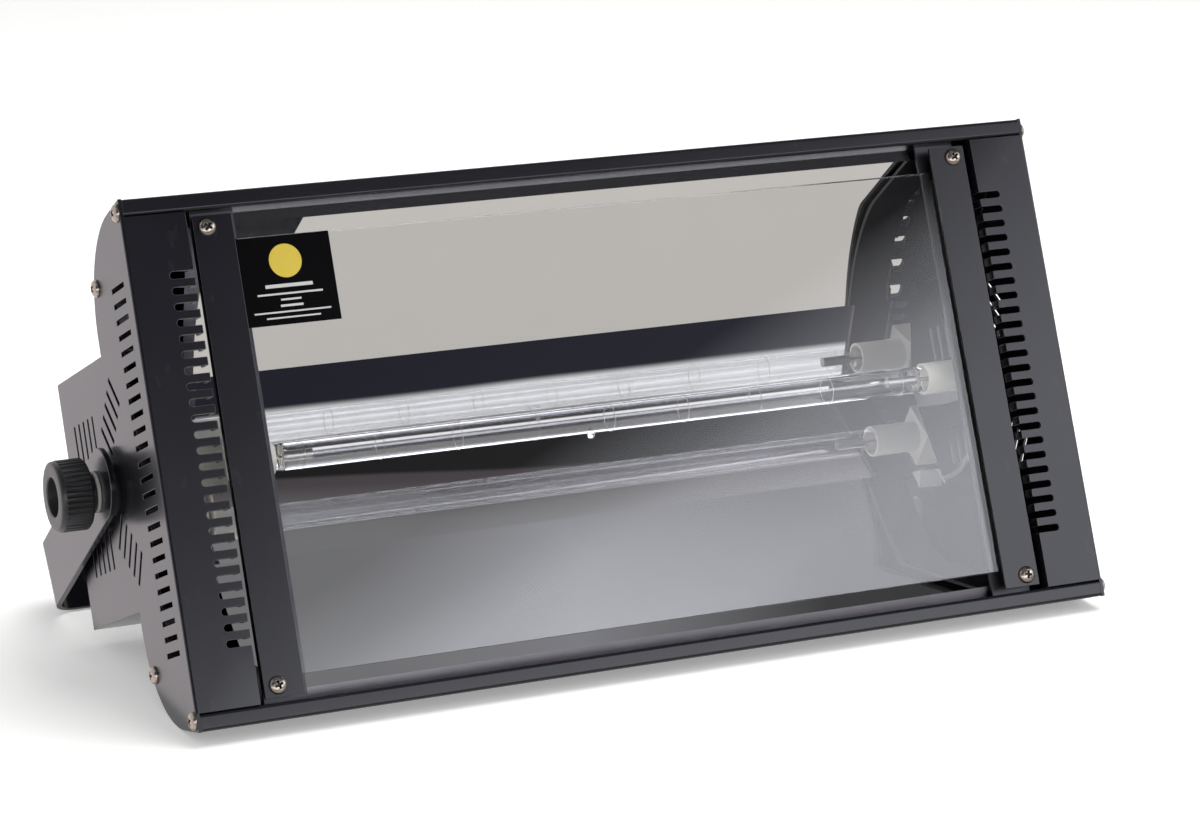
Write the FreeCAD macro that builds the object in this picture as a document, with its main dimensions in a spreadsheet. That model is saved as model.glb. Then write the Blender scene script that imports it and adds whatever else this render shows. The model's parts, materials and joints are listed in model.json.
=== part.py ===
import FreeCAD, Part
import math
import operator
import os
import types
import Sketcher

# Stage stroboscope with a straight flash tube, standing on its lower edge and its tilting bracket.
# Every piece is drawn upright (x across, y from the front to the back, z up the window, x = 0 in
# the middle) and is then leaned back about the x axis, as the lamp stands.

driving = {
    # housing
    "width": 430, "height": 222, "trough_depth": 59, "corner_radius": 46, "face_slope": 7.5,
    "box_depth": 134, "box_height": 110, "sheet": 1.5, "lean": 23,
    "lip_height": 7.5, "lip_return": 16, "lip_bend": 1.5, "seam": 0.3,
    "strip_width": 28, "strip_return": 6.5, "fold_radius": 1.2, "bend_radius": 2,
    "slot_pitch": 6.7, "slot_length": 10.7, "slot_width": 3.1, "slot_end": 1.5,
    "vent_front": 9.5, "vent_length": 18.5, "vent_width": 2.2,
    "grille_length": 17, "grille_step": 7.5, "grille_front": 86.5, "grille_rise": 24.9,
    "slant": 50, "slant_step": 7, "slant_forward": 21.5, "slant_rise": 28.7,
    # screws
    "screw_radius": 1.95, "screw_play": 0.05, "head_radius": 3.9, "head_height": 2.2,
    "screw_length": 9, "hole_play": 0.25, "lip_screw_depth": 4, "lip_screw_rise": 5.2,
    "corner_screw_depth": 49.7, "corner_screw_rise": 28.3, "cover_screw_depth": 124,
    "cover_screw_inset": 24, "cover_screw_offset": 71.7, "plate_screw_length": 5.4,
    "cover_screw_length": 6.3, "cross_length": 4.7, "cross_width": 1, "cross_depth": 1.2,
    "tab_screw_inset": 10, "tab_length": 16, "tab_half": 8, "lip_tab_length": 8.6,
    # pivot and bracket
    "pivot_depth": 80, "arm_gap": 2.5, "bracket_sheet": 2.5, "bracket_width": 31,
    "bracket_reach": 108, "bracket_tail": 24, "bracket_bend": 10, "arm_round": 15,
    "centre_hole_radius": 6.5, "side_hole_radius": 4.5, "side_hole_offset": 60,
    "stud_radius": 3.95, "stud_play": 0.05, "arm_hole_play": 0.3, "face_play": 0.1,
    "washer_radius": 9, "washer_sheet": 1.5, "friction_radius": 11, "nut_radius": 8, "nut_height": 7,
    "knob_radius": 15.5, "knob_length": 14.5, "neck_radius": 8.2, "neck_length": 3,
    "knob_recess_radius": 8.5, "knob_recess": 10.5, "knob_groove": 0.9, "stud_head": 3.5,
    "stud_head_radius": 7.3, "stud_tail": 2,
    # window
    "glass_sheet": 4, "glass_low": 17.9, "glass_top_inset": 20.4, "glass_inset": 33.5,
    "retainer_width": 17.4, "retainer_inset": 31, "retainer_front": 2.2, "retainer_end_inset": 9.7,
    "retainer_screw_inset": 37, "retainer_screw_rise": 5, "boss_radius": 2.9, "rebate": 3,
    "bracket_lap": 3.2, "gasket_width": 14, "gasket_front": 0.8, "gasket_back": 1,
    "label_width": 41.7, "label_tall": 38, "label_sheet": 0.2, "label_drop": 0.2,
    # reflector
    "mirror_sheet": 0.8, "mirror_front": 13, "mirror_foot": 12.5, "mirror_mid_depth": 40,
    "mirror_mid_rise": 63, "mirror_back_depth": 48.5, "mirror_back_rise": 44, "mirror_depth": 63.2,
    "mirror_sweep": 150, "mirror_left_inset": 32, "mirror_right_inset": 46,
    # flash tube
    "lamp_depth": 30, "tube_radius": 6, "tube_wall": 1.1, "tube_seat": 6, "tube_seal": 9,
    "base_radius": 7.2, "base_inset": 58, "base_length": 23, "base_play": 0.1,
    "electrode_radius": 2.2, "electrode_length": 14, "pin_radius": 0.6, "pin_length": 18,
    "wire_radius": 0.35, "ring_pitch": 36, "ring_width": 0.8,
    "socket_length": 12, "socket_size": 20, "arm_height": 16,
    "lead_radius": 1.3, "lead_bend": 8, "lead_drop": 17, "lead_behind": 5, "lead_slope": 5,
    "lead_side": 12, "lead_landing": 6.9,
    # chassis and electronics
    "chassis_depth": 76, "chassis_inset": 65, "chassis_flange": 10,
    "board_gap": 6, "board_sheet": 1.6, "board_length": 210, "board_tall": 92, "standoff_radius": 3,
    "standoff_inset": 6, "board_margin": 12, "part_gap": 8,
    "capacitor_radius": 17, "capacitor_length": 32, "capacitor_step": 38,
    "sink_length": 50, "sink_tall": 60, "sink_depth": 32, "sink_base": 5, "fin_sheet": 2,
    "thyristor_width": 10, "thyristor_tall": 12, "thyristor_depth": 5, "thyristor_step": 22,
    "thyristor_gap": 1, "choke_radius": 18, "choke_hole": 7, "choke_height": 20, "choke_drop": 20,
    "trigger_lift": 4,
    "trigger_length": 34, "trigger_depth": 26, "trigger_tall": 40,
    "control_board_half": 62, "control_board_tall": 60,
    # fan
    "fan_size": 50, "fan_thick": 15, "fan_inset": 6, "fan_hole": 23.5, "fan_play": 1, "hub_radius": 11,
    "fan_plate": 2, "strut_half": 1.5, "blade_sheet": 1.2, "blade_pitch": 35, "blade_root": 1.5,
    "shaft_radius": 1.5,
    # rear panel fittings
    "panel_flange": 12, "flange_sheet": 2, "inlet_across": -158, "inlet_length": 28, "inlet_tall": 20,
    "inlet_depth": 18, "inlet_wall": 2.2, "inlet_rim": 3, "blade_thick": 2, "blade_step": 7,
    "blade_rise": 2, "blade_drop": 0.5, "pin_recess": 7, "fuse_across": -128, "fuse_radius": 6,
    "fuse_rim": 8.5, "fuse_tip": 5.4, "fuse_slot": 1.4, "fuse_depth": 24, "fuse_cap": 6,
    "switch_across": -98, "switch_length": 19, "switch_tall": 13, "switch_depth": 14, "switch_wall": 1.5,
    "rocker_tilt": 8, "rocker_low": 5, "rocker_top": 4.4,
    "rocker_pin": 1.2, "dial_across": 22, "dial_radius": 8, "dial_height": 12,
    "dial_gap": 1, "dial_grip": 6.4, "dial_tip": 5.4, "mark_width": 1, "mark_start": 2.8,
    "mark_end": 6.2, "mark_rise": 0.3, "bush_radius": 4, "dial_shaft": 3, "dial_play": 0.05,
    "pot_size": 17, "pot_depth": 9,
    "signal_across": 110, "signal_step": 44, "signal_radius": 12.5, "signal_depth": 20,
    "signal_plate": 26, "signal_plate_tall": 31, "signal_bore": 9.6, "signal_core": 8.2,
    "signal_bore_depth": 16, "signal_pin": 1.2, "signal_pin_circle": 4.2, "signal_screw": 1.5,
    "signal_screw_inset": 3, "latch_width": 5, "latch_tall": 2.4, "latch_rise": 9.2, "latch_reach": 2.5,
    "latch_sunk": 3, "latch_depth": 7, "latch_play": 0.3,
}
slot_count = 24
knob_grooves = 40
fin_count = 7
blade_count = 7

doc = FreeCAD.newDocument("Stroboscope")
sheet = doc.addObject("Spreadsheet::Sheet", "Sizes")
worked = doc.addObject("Spreadsheet::Sheet", "Worked")
V = FreeCAD.Vector
turned = {
    "x": FreeCAD.Rotation(V(0, 1, 0), 90), "y": FreeCAD.Rotation(V(1, 0, 0), -90), "z": FreeCAD.Rotation(),
}
arithmetic = {"+": operator.add, "-": operator.sub, "*": operator.mul, "/": operator.truediv}
subparts = []


class Size:
    # A number and the sheet expression that gives it, so a property can be set and bound alike.
    def __init__(self, value, text):
        self.value = float(value)
        self.text = text

    def join(self, sign, other, swap=False):
        first, second = (size(other), self) if swap else (self, size(other))
        text = "(%s %s %s)" % (first.text, sign, second.text)
        return Size(arithmetic[sign](first.value, second.value), text)

    def __add__(self, other):
        return self.join("+", other)

    def __radd__(self, other):
        return self.join("+", other, True)

    def __sub__(self, other):
        return self.join("-", other)

    def __rsub__(self, other):
        return self.join("-", other, True)

    def __mul__(self, other):
        return self.join("*", other)

    def __rmul__(self, other):
        return self.join("*", other, True)

    def __truediv__(self, other):
        return self.join("/", other)

    def __neg__(self):
        return 0 - self


def size(number):
    return number if isinstance(number, Size) else Size(number, repr(float(number)))


def sine(angle):
    return Size(math.sin(math.radians(angle.value)), "sin(%s)" % angle.text)


def cosine(angle):
    return Size(math.cos(math.radians(angle.value)), "cos(%s)" % angle.text)


def tangent(angle):
    return Size(math.tan(math.radians(angle.value)), "tan(%s)" % angle.text)


def arcsine(number):
    return Size(math.degrees(math.asin(number.value)), "(asin(%s) / 1 deg)" % number.text)


def arctangent(number):
    return Size(math.degrees(math.atan(number.value)), "(atan(%s) / 1 deg)" % number.text)


def root(number):
    return Size(math.sqrt(number.value), "sqrt(%s)" % number.text)


def work_out(name, number):
    # Keeps a worked-out size in the second sheet, under its own alias.
    cell = "A%d" % (len(worked.getUsedCells()) + 1)
    worked.set(cell, "=" + number.text)
    worked.setAlias(cell, name)
    return Size(number.value, "Worked." + name)


for row, (name, number) in enumerate(driving.items(), 1):
    sheet.set("A%d" % row, str(number))
    sheet.setAlias("A%d" % row, name)
d = types.SimpleNamespace(**{name: Size(number, "Sizes." + name) for name, number in driving.items()})
doc.recompute()

# ---- places that many pieces share
half = work_out("half_width", d.width / 2)
middle = work_out("middle", d.height / 2)
box_low = work_out("box_low", (d.height - d.box_height) / 2)
box_high = work_out("box_high", (d.height + d.box_height) / 2)
inner = work_out("inner_half", half - d.sheet)
arm_inner = work_out("arm_inner", half + d.arm_gap)
arm_outer = work_out("arm_outer", arm_inner + d.bracket_sheet)
slope = work_out("slope_ratio", tangent(d.face_slope))
skew = work_out("slope_sheet", d.sheet / cosine(d.face_slope))
arc_depth = work_out("arc_depth", d.trough_depth - d.corner_radius)
arc_rise = work_out("arc_rise", arc_depth * slope + d.corner_radius / cosine(d.face_slope))
panel_inner = work_out("panel_inner", d.box_depth - d.sheet)
retainer_back = work_out("retainer_back", d.retainer_front + d.sheet)
glass_front = work_out("glass_front", retainer_back + d.gasket_front)
glass_back = work_out("glass_back", glass_front + d.glass_sheet)
rest_front = work_out("rest_front", glass_back + d.gasket_back)
glass_tall = work_out("glass_tall", d.height - d.glass_low - d.glass_top_inset)
base_inner = work_out("base_inner", half - d.base_inset)
chassis_half = work_out("chassis_half", half - d.chassis_inset)

# ---- how it stands: the lower bend and the crossbar's edge touch the floor
lean_sine = work_out("lean_sine", sine(d.lean))
lean_cosine = work_out("lean_cosine", cosine(d.lean))
floor = work_out("floor_level", lean_cosine * arc_rise - lean_sine * arc_depth - d.corner_radius)
pivot_y = work_out("pivot_back", lean_cosine * d.pivot_depth + lean_sine * middle)
pivot_z = work_out("pivot_up", lean_cosine * middle - lean_sine * d.pivot_depth)
bar_half = work_out("bar_half", d.bracket_width / 2)
bar_ratio = (pivot_z - floor) / root(d.bracket_reach * d.bracket_reach + bar_half * bar_half)
droop = work_out("bracket_droop", arcsine(bar_ratio) - arctangent(bar_half / d.bracket_reach))
reach_y = pivot_y + d.bracket_reach * cosine(droop) + bar_half * sine(droop)
shift_y = work_out("shift_back", -reach_y / 2)
shift_z = work_out("shift_up", -floor)


# ---- drawing helpers
def place(thing, point):
    thing.Placement.Base = V(*[size(part).value for part in point])
    for letter, part in zip("xyz", point):
        thing.setExpression("Placement.Base." + letter, size(part).text)


def box(low, high):
    thing = doc.addObject("Part::Box", "Block")
    for side, near, far in zip(("Length", "Width", "Height"), low, high):
        thing.setExpression(side, (size(far) - near).text)
    place(thing, low)
    return thing


def rod(start, radius, length, axis="x"):
    thing = doc.addObject("Part::Cylinder", "Rod")
    thing.setExpression("Radius", size(radius).text)
    thing.setExpression("Height", size(length).text)
    thing.Placement.Rotation = turned[axis]
    place(thing, start)
    return thing


def cone(start, radius, tip_radius, length, axis="x"):
    thing = doc.addObject("Part::Cone", "Taper")
    thing.setExpression("Radius1", size(radius).text)
    thing.setExpression("Radius2", size(tip_radius).text)
    thing.setExpression("Height", size(length).text)
    thing.Placement.Rotation = turned[axis]
    place(thing, start)
    return thing


def fuse(*pieces):
    thing = doc.addObject("Part::MultiFuse", "Joined")
    thing.Shapes = list(pieces)
    return thing


def cut(base, *tools):
    thing = doc.addObject("Part::Cut", "Cut")
    thing.Base = base
    thing.Tool = tools[0] if len(tools) == 1 else fuse(*tools)
    return thing


def group(*pieces):
    thing = doc.addObject("Part::Compound", "Group")
    thing.Links = list(pieces)
    return thing


def body(name):
    return doc.addObject("PartDesign::Body", name)


def plane_of(owner, role):
    return [item for item in owner.Origin.OriginFeatures if item.Role == role][0]


def sketch_on(owner, plane, offset=0):
    sketch = owner.newObject("Sketcher::SketchObject", "Sketch")
    sketch.AttachmentSupport = [(plane_of(owner, plane + "_Plane"), "")]
    sketch.MapMode = "FlatFace"
    sketch.AttachmentOffset = FreeCAD.Placement(V(0, 0, size(offset).value), FreeCAD.Rotation())
    sketch.setExpression("AttachmentOffset.Base.z", size(offset).text)
    return sketch


def hold(sketch, kind, *target, number):
    # One dimension of a sketch, bound to the sheet.
    index = sketch.addConstraint(Sketcher.Constraint(kind, *target, size(number).value))
    sketch.setExpression("Constraints[%d]" % index, size(number).text)


def circle(sketch, across, up, radius):
    spot = V(size(across).value, size(up).value, 0)
    line = sketch.addGeometry(Part.Circle(spot, V(0, 0, 1), size(radius).value))
    hold(sketch, "DistanceX", line, 3, number=across)
    hold(sketch, "DistanceY", line, 3, number=up)
    hold(sketch, "Radius", line, number=radius)


def outline(sketch, corners):
    # A closed line through (across, up) or (across, up, radius) corners, rounded where a radius is given.
    corners = [tuple(corner) + (0,) * (3 - len(corner)) for corner in corners]
    points = [V(size(corner[0]).value, size(corner[1]).value, 0) for corner in corners]
    count = len(corners)
    arriving, leaving, bends = [], [], []
    for index, point in enumerate(points):
        radius = size(corners[index][2]).value
        before = (points[index - 1] - point).normalize()
        after = (points[(index + 1) % count] - point).normalize()
        if not radius:
            arriving.append(point)
            leaving.append(point)
            bends.append(None)
            continue
        opening = before.getAngle(after) / 2
        inward = (before + after).normalize()
        centre = point + inward * (radius / math.sin(opening))
        arriving.append(point + before * (radius / math.tan(opening)))
        leaving.append(point + after * (radius / math.tan(opening)))
        bends.append(Part.Arc(arriving[-1], centre - inward * radius, leaving[-1]))
    sides = [
        sketch.addGeometry(Part.LineSegment(leaving[index], arriving[(index + 1) % count]))
        for index in range(count)
    ]
    for index, corner in enumerate(corners):
        last, following = sides[index - 1], sides[index]
        if bends[index] is None:
            sketch.addConstraint(Sketcher.Constraint("Coincident", last, 2, following, 1))
            hold(sketch, "DistanceX", following, 1, number=corner[0])
            hold(sketch, "DistanceY", following, 1, number=corner[1])
            continue
        arc = sketch.addGeometry(bends[index])
        near_start = sketch.getPoint(arc, 1).distanceToPoint(arriving[index]) < 1e-4
        first, second = (1, 2) if near_start else (2, 1)
        mark = sketch.addGeometry(Part.Point(points[index]), True)
        sketch.addConstraint(Sketcher.Constraint("PointOnObject", mark, 1, last))
        sketch.addConstraint(Sketcher.Constraint("PointOnObject", mark, 1, following))
        hold(sketch, "DistanceX", mark, 1, number=corner[0])
        hold(sketch, "DistanceY", mark, 1, number=corner[1])
        sketch.addConstraint(Sketcher.Constraint("Tangent", last, 2, arc, first))
        sketch.addConstraint(Sketcher.Constraint("Tangent", arc, second, following, 1))
        hold(sketch, "Radius", arc, number=corner[2])


def pad(owner, plane, offset, length, *outlines, holes=()):
    # Adds the outlines' prism, from the offset plane along the plane's own normal.
    sketch = sketch_on(owner, plane, offset)
    for corners in outlines:
        outline(sketch, corners)
    for hole in holes:
        circle(sketch, *hole)
    feature = owner.newObject("PartDesign::Pad", "Pad")
    feature.Profile = sketch
    feature.setExpression("Length", size(length).text)
    return feature


def pocket(owner, plane, offset, length, *outlines, holes=()):
    # Cuts the outlines' prism out, from the offset plane along the plane's own normal.
    sketch = sketch_on(owner, plane, offset)
    for corners in outlines:
        outline(sketch, corners)
    for hole in holes:
        circle(sketch, *hole)
    feature = owner.newObject("PartDesign::Pocket", "Pocket")
    feature.Profile = sketch
    feature.setExpression("Length", size(length).text)
    feature.Reversed = True
    return feature


def repeat(owner, feature, axis, step, count):
    # Repeats a pocket along an axis of its own sketch.
    pattern = owner.newObject("PartDesign::LinearPattern", "Row")
    pattern.Originals = [feature]
    pattern.Direction = (feature.Profile[0], [axis])
    pattern.Mode = "Extent"
    pattern.Occurrences = count
    pattern.setExpression("Length", (size(step) * (count - 1)).text)
    owner.Tip = pattern
    return pattern


def ring_pattern(owner, feature, count):
    pattern = owner.newObject("PartDesign::PolarPattern", "Ring")
    pattern.Originals = [feature]
    pattern.Axis = (feature.Profile[0], ["N_Axis"])
    pattern.Angle = 360
    pattern.Occurrences = count
    owner.Tip = pattern
    return pattern


def rectangle(left, low, right, high, radius=0):
    return [(left, low, radius), (right, low, radius), (right, high, radius), (left, high, radius)]


def slanted(across, up, length, width, angle):
    # A slot's outline about its middle, turned by an angle.
    along = (cosine(angle) * length / 2, sine(angle) * length / 2)
    aside = (sine(angle) * width / 2, cosine(angle) * width / 2)
    corners = []
    for forward, side in ((-1, 1), (1, 1), (1, -1), (-1, -1)):
        middle_point = across + along[0] * forward, up + along[1] * forward
        corners.append((middle_point[0] - aside[0] * side, middle_point[1] + aside[1] * side))
    return corners


def inward(side, near, far):
    # From the outer face of one end, near to far towards the middle: where it starts, and its length.
    start = near - half if side < 0 else half - far
    return start, size(far) - near


def stand(thing, name):
    # Names a finished piece and leans it back with the lamp.
    thing.Label = name
    thing.Placement = FreeCAD.Placement(
        V(0, shift_y.value, shift_z.value), FreeCAD.Rotation(V(-1, 0, 0), d.lean.value)
    )
    thing.setExpression("Placement.Base.y", shift_y.text)
    thing.setExpression("Placement.Base.z", shift_z.text)
    thing.setExpression("Placement.Rotation.Angle", d.lean.text)
    subparts.append(thing)
    return thing


def mirrored(low, *points):
    # Points given for the lower half stay there, or move to the same place in the upper half.
    return [(point[0], point[1] if low else d.height - point[1]) + tuple(point[2:]) for point in points]


# ---- housing
plate_screws = [(d.lip_screw_depth, d.lip_screw_rise), (d.corner_screw_depth, d.corner_screw_rise)]
plate_screws += [(depth, d.height - rise) for depth, rise in plate_screws]
cover_screws = [-d.cover_screw_offset, d.cover_screw_offset]
cover_screws = [d.cover_screw_inset - half] + cover_screws + [half - d.cover_screw_inset]


def end_plate(name, side):
    plate = body("Plate")
    start, thickness = inward(side, 0, d.sheet)
    profile = mirrored(
        True,
        (0, 0),
        (d.trough_depth, d.trough_depth * slope, d.corner_radius),
        (d.trough_depth, box_low),
        (d.box_depth, box_low),
    )
    profile += reversed(mirrored(False, *profile))
    low = d.lip_height + d.seam
    holes = [(depth, rise, d.screw_radius + d.hole_play) for depth, rise in plate_screws]
    holes.append((d.pivot_depth, middle, d.stud_radius + d.arm_hole_play))
    pad(plate, "YZ", start, thickness, profile, holes=holes)
    start, length = inward(side, 0, d.strip_width)
    pad(plate, "YZ", start, length, rectangle(0, low, d.sheet, d.height - low))
    start, length = inward(side, d.strip_width - d.sheet, d.strip_width)
    pad(plate, "YZ", start, length, rectangle(0, low, d.strip_return, d.height - low))

    for low in (box_low + d.sheet, box_high - d.sheet * 2):
        near, far = d.pivot_depth - d.tab_half, d.pivot_depth + d.tab_half
        start, length = inward(side, d.sheet, d.tab_length)
        pad(plate, "YZ", start, length, rectangle(near, low, far, low + d.sheet))
        spot = ((half - d.tab_screw_inset) * side, d.pivot_depth, d.screw_radius + d.screw_play)
        pocket(plate, "XY", low, d.sheet, holes=[spot])

    slot_low = middle - d.slot_pitch * (slot_count - 1) / 2
    start, length = inward(side, d.strip_width - d.slot_length, d.strip_width + 1)
    rounds = (d.slot_end, 0, 0, d.slot_end) if side < 0 else (0, d.slot_end, d.slot_end, 0)
    edges = rectangle(start, slot_low - d.slot_width / 2, start + length, slot_low + d.slot_width / 2)
    rounded = [edge[:2] + (turn,) for edge, turn in zip(edges, rounds)]
    slot = pocket(plate, "XZ", 0, d.strip_return + 1, rounded)
    slot.Reversed = False
    repeat(plate, slot, "V_Axis", d.slot_pitch, slot_count)

    start, thickness = inward(side, 0, d.sheet)
    vent_back = d.vent_front + d.vent_length
    low = slot_low - d.vent_width / 2
    opening = rectangle(d.vent_front, low, vent_back, low + d.vent_width)
    vent = pocket(plate, "YZ", start, thickness, opening)
    repeat(plate, vent, "V_Axis", d.slot_pitch, slot_count)

    for low_half in (True, False):
        rise = middle - d.grille_rise if low_half else middle + d.grille_rise
        upright = rectangle(
            d.grille_front - d.vent_width / 2, rise - d.grille_length / 2,
            d.grille_front + d.vent_width / 2, rise + d.grille_length / 2,
        )
        repeat(plate, pocket(plate, "YZ", start, thickness, upright), "H_Axis", d.grille_step, 5)
        tilt = d.slant if not low_half else -d.slant
        away = 1 if not low_half else -1
        first = d.pivot_depth - d.slant_forward, middle + d.slant_rise * away
        slots = []
        for step in range(-2, 3):
            across = first[0] + sine(d.slant) * d.slant_step * step
            up = first[1] - cosine(d.slant) * d.slant_step * step * away
            slots.append(slanted(across, up, d.grille_length, d.vent_width, tilt))
        pocket(plate, "YZ", start, thickness, *slots)

    low = d.lip_height + d.seam
    centre = (half - d.fold_radius) * side
    start, length = inward(side, 0, d.fold_radius)
    corner = box((start, 0, low), (start + length, d.fold_radius, d.height - low))
    fold = cut(corner, rod((centre, d.fold_radius, low), d.fold_radius, d.height - low * 2, "z"))
    return stand(cut(plate, fold), name)


def cover(name, low):
    shell = body(name)
    back = d.trough_depth
    inside = back - d.sheet
    section = mirrored(
        low,
        (0, 0, d.lip_bend),
        (back, back * slope, d.corner_radius),
        (back, box_low, d.bend_radius),
        (d.box_depth, box_low),
        (d.box_depth, box_low + d.sheet),
        (inside, box_low + d.sheet, d.bend_radius + d.sheet),
        (inside, inside * slope + skew, d.corner_radius - d.sheet),
        (d.sheet, d.sheet * slope + skew),
        (d.sheet, d.lip_height - d.sheet),
        (d.lip_return, d.lip_height - d.sheet),
        (d.lip_return, d.lip_height),
        (0, d.lip_height, d.lip_bend),
    )
    pad(shell, "YZ", -inner, inner * 2, section)
    mid = d.sheet / 2
    bend_tab = mirrored(
        low,
        (arc_depth, arc_depth * slope + skew / 2),
        (back - mid, (back - mid) * slope + skew / 2, d.corner_radius - mid),
        (back - mid, arc_rise + mid),
    )
    tab_low = d.lip_tab_length * slope + mid
    lip_tab = mirrored(low, *rectangle(mid, tab_low, d.lip_tab_length, d.lip_height - mid))
    screws = plate_screws[:2] if low else plate_screws[2:]
    holes = [(depth, rise, d.screw_radius + d.screw_play) for depth, rise in screws]
    for side in (-1, 1):
        start, length = inward(side, d.sheet, d.sheet * 2)
        pad(shell, "YZ", start, length, bend_tab, lip_tab)
        start, length = inward(side, d.sheet, d.screw_length)
        pocket(shell, "YZ", start, length, holes=holes)
    spots = [(across, d.cover_screw_depth, d.screw_radius + d.hole_play) for across in cover_screws]
    for side in (-1, 1):
        spots.append(((half - d.tab_screw_inset) * side, d.pivot_depth, d.screw_radius + d.hole_play))
    pocket(shell, "XY", box_low if low else box_high - d.sheet, d.sheet, holes=spots)
    return stand(shell, name)


end_plate("left_end_plate", -1)
end_plate("right_end_plate", 1)
cover("bottom_cover", True)
cover("top_cover", False)


def pan_screw(spot, axis, outward, length):
    # A pan-head screw: its head stands on the spot, and its shank goes the other way.
    index = "xyz".index(axis)

    def moved(distance):
        return [part + distance if number == index else part for number, part in enumerate(spot)]

    head = rod(moved(0 if outward > 0 else -d.head_height), d.head_radius, d.head_height, axis)
    shank = rod(moved(-length if outward > 0 else 0), d.screw_radius, length, axis)
    near = d.head_height - d.cross_depth if outward > 0 else -d.head_height
    reaches = [d.cross_length / 2, d.cross_width / 2]
    tools = []
    for pair in (reaches, reaches[::-1]):
        pair = pair[:index] + [size(0)] + pair[index:]
        low = [part - reach for part, reach in zip(moved(near), pair)]
        high = [part + reach for part, reach in zip(moved(near + d.cross_depth), pair)]
        tools.append(box(low, high))
    return cut(fuse(head, shank), *tools)


screws = []
for side in (-1, 1):
    for depth, rise in plate_screws:
        screws.append(pan_screw((half * side, depth, rise), "x", side, d.plate_screw_length))
stand(group(*screws), "end_plate_screws")

screws = []
for rise, outward in ((box_high, 1), (box_low, -1)):
    for across in cover_screws:
        spot = (across, d.cover_screw_depth, rise)
        screws.append(pan_screw(spot, "z", outward, d.cover_screw_length))
    for side in (-1, 1):
        spot = ((half - d.tab_screw_inset) * side, d.pivot_depth, rise)
        screws.append(pan_screw(spot, "z", outward, d.cover_screw_length))
stand(group(*screws), "cover_screws")


# ---- rear panel and what it carries
def rear_panel():
    panel = body("rear_panel")
    low, high = box_low + d.sheet, box_high - d.sheet
    across = d.inlet_length / 2
    inlet = rectangle(d.inlet_across - across, middle - d.inlet_tall / 2, d.inlet_across + across,
                      middle + d.inlet_tall / 2)
    switch_half = d.switch_length / 2
    switch = rectangle(d.switch_across - switch_half, middle - d.switch_tall / 2,
                       d.switch_across + switch_half, middle + d.switch_tall / 2)
    holes = [(d.fuse_across, middle, d.fuse_radius + d.hole_play)]
    holes += [(d.dial_across * side, middle, d.bush_radius + d.hole_play) for side in (-1, 1)]
    for step in (0, 1):
        holes.append((d.signal_across + d.signal_step * step, middle, d.signal_radius + d.hole_play))
    plain = rectangle(-inner, low, inner, high)
    pad(panel, "XZ", -d.box_depth, d.sheet, plain, inlet, switch, holes=holes)
    for edge in (low, high - d.sheet):
        flange = rectangle(panel_inner - d.panel_flange, edge, panel_inner, edge + d.sheet)
        pad(panel, "YZ", -inner, inner * 2, flange)
        spots = [(spot, d.cover_screw_depth, d.screw_radius + d.screw_play) for spot in cover_screws]
        pocket(panel, "XY", edge, d.sheet, holes=spots)
    return stand(panel, "rear_panel")


def power_inlet():
    back, centre = d.box_depth, d.inlet_across
    reach, rise = d.inlet_length / 2 - d.hole_play, d.inlet_tall / 2 - d.hole_play
    rim, wall, mouth = d.inlet_rim, d.inlet_wall, back + d.flange_sheet
    shell = box((centre - reach, back - d.inlet_depth, middle - rise), (centre + reach, back, middle + rise))
    wide, tall = reach + rim, rise + rim
    flange = box((centre - wide, back, middle - tall), (centre + wide, mouth, middle + tall))
    floor_depth = back - d.inlet_depth + wall
    wide, tall = reach - wall, rise - wall
    hollow = box((centre - wide, floor_depth, middle - tall), (centre + wide, mouth, middle + tall))
    blades = []
    for across, lift in ((-1, -d.blade_drop), (0, d.blade_rise), (1, -d.blade_drop)):
        left = centre + d.blade_step * across - d.blade_thick / 2
        low = middle + lift - d.blade_thick
        far = (left + d.blade_thick, mouth - d.pin_recess, low + d.blade_thick * 2)
        blades.append(box((left, floor_depth - wall / 2, low), far))
    return stand(fuse(cut(fuse(shell, flange), hollow), *blades), "power_inlet")


def fuse_holder():
    across, mouth = d.fuse_across, d.box_depth + d.flange_sheet
    barrel = rod((across, d.box_depth - d.fuse_depth, middle), d.fuse_radius, d.fuse_depth, "y")
    ring = rod((across, d.box_depth, middle), d.fuse_rim, d.flange_sheet, "y")
    cap = cone((across, mouth, middle), d.fuse_radius, d.fuse_tip, d.fuse_cap, "y")
    tip = mouth + d.fuse_cap
    low = (across - d.fuse_radius, tip - d.fuse_slot, middle - d.fuse_slot / 2)
    slot = box(low, (across + d.fuse_radius, tip, middle + d.fuse_slot / 2))
    return stand(cut(fuse(barrel, ring, cap), slot), "fuse_holder")


def around(across, radius, count, first):
    # Spots evenly round a circle on the rear panel.
    turns = [size(first + 360 / count * number) for number in range(count)]
    return [(across + cosine(turn) * radius, middle + sine(turn) * radius) for turn in turns]


def latch_room(across, play):
    low = middle + d.latch_rise - play
    wide = d.latch_width / 2 + play
    return (across - wide, low), (across + wide, low + d.latch_tall + play * 2)


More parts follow.
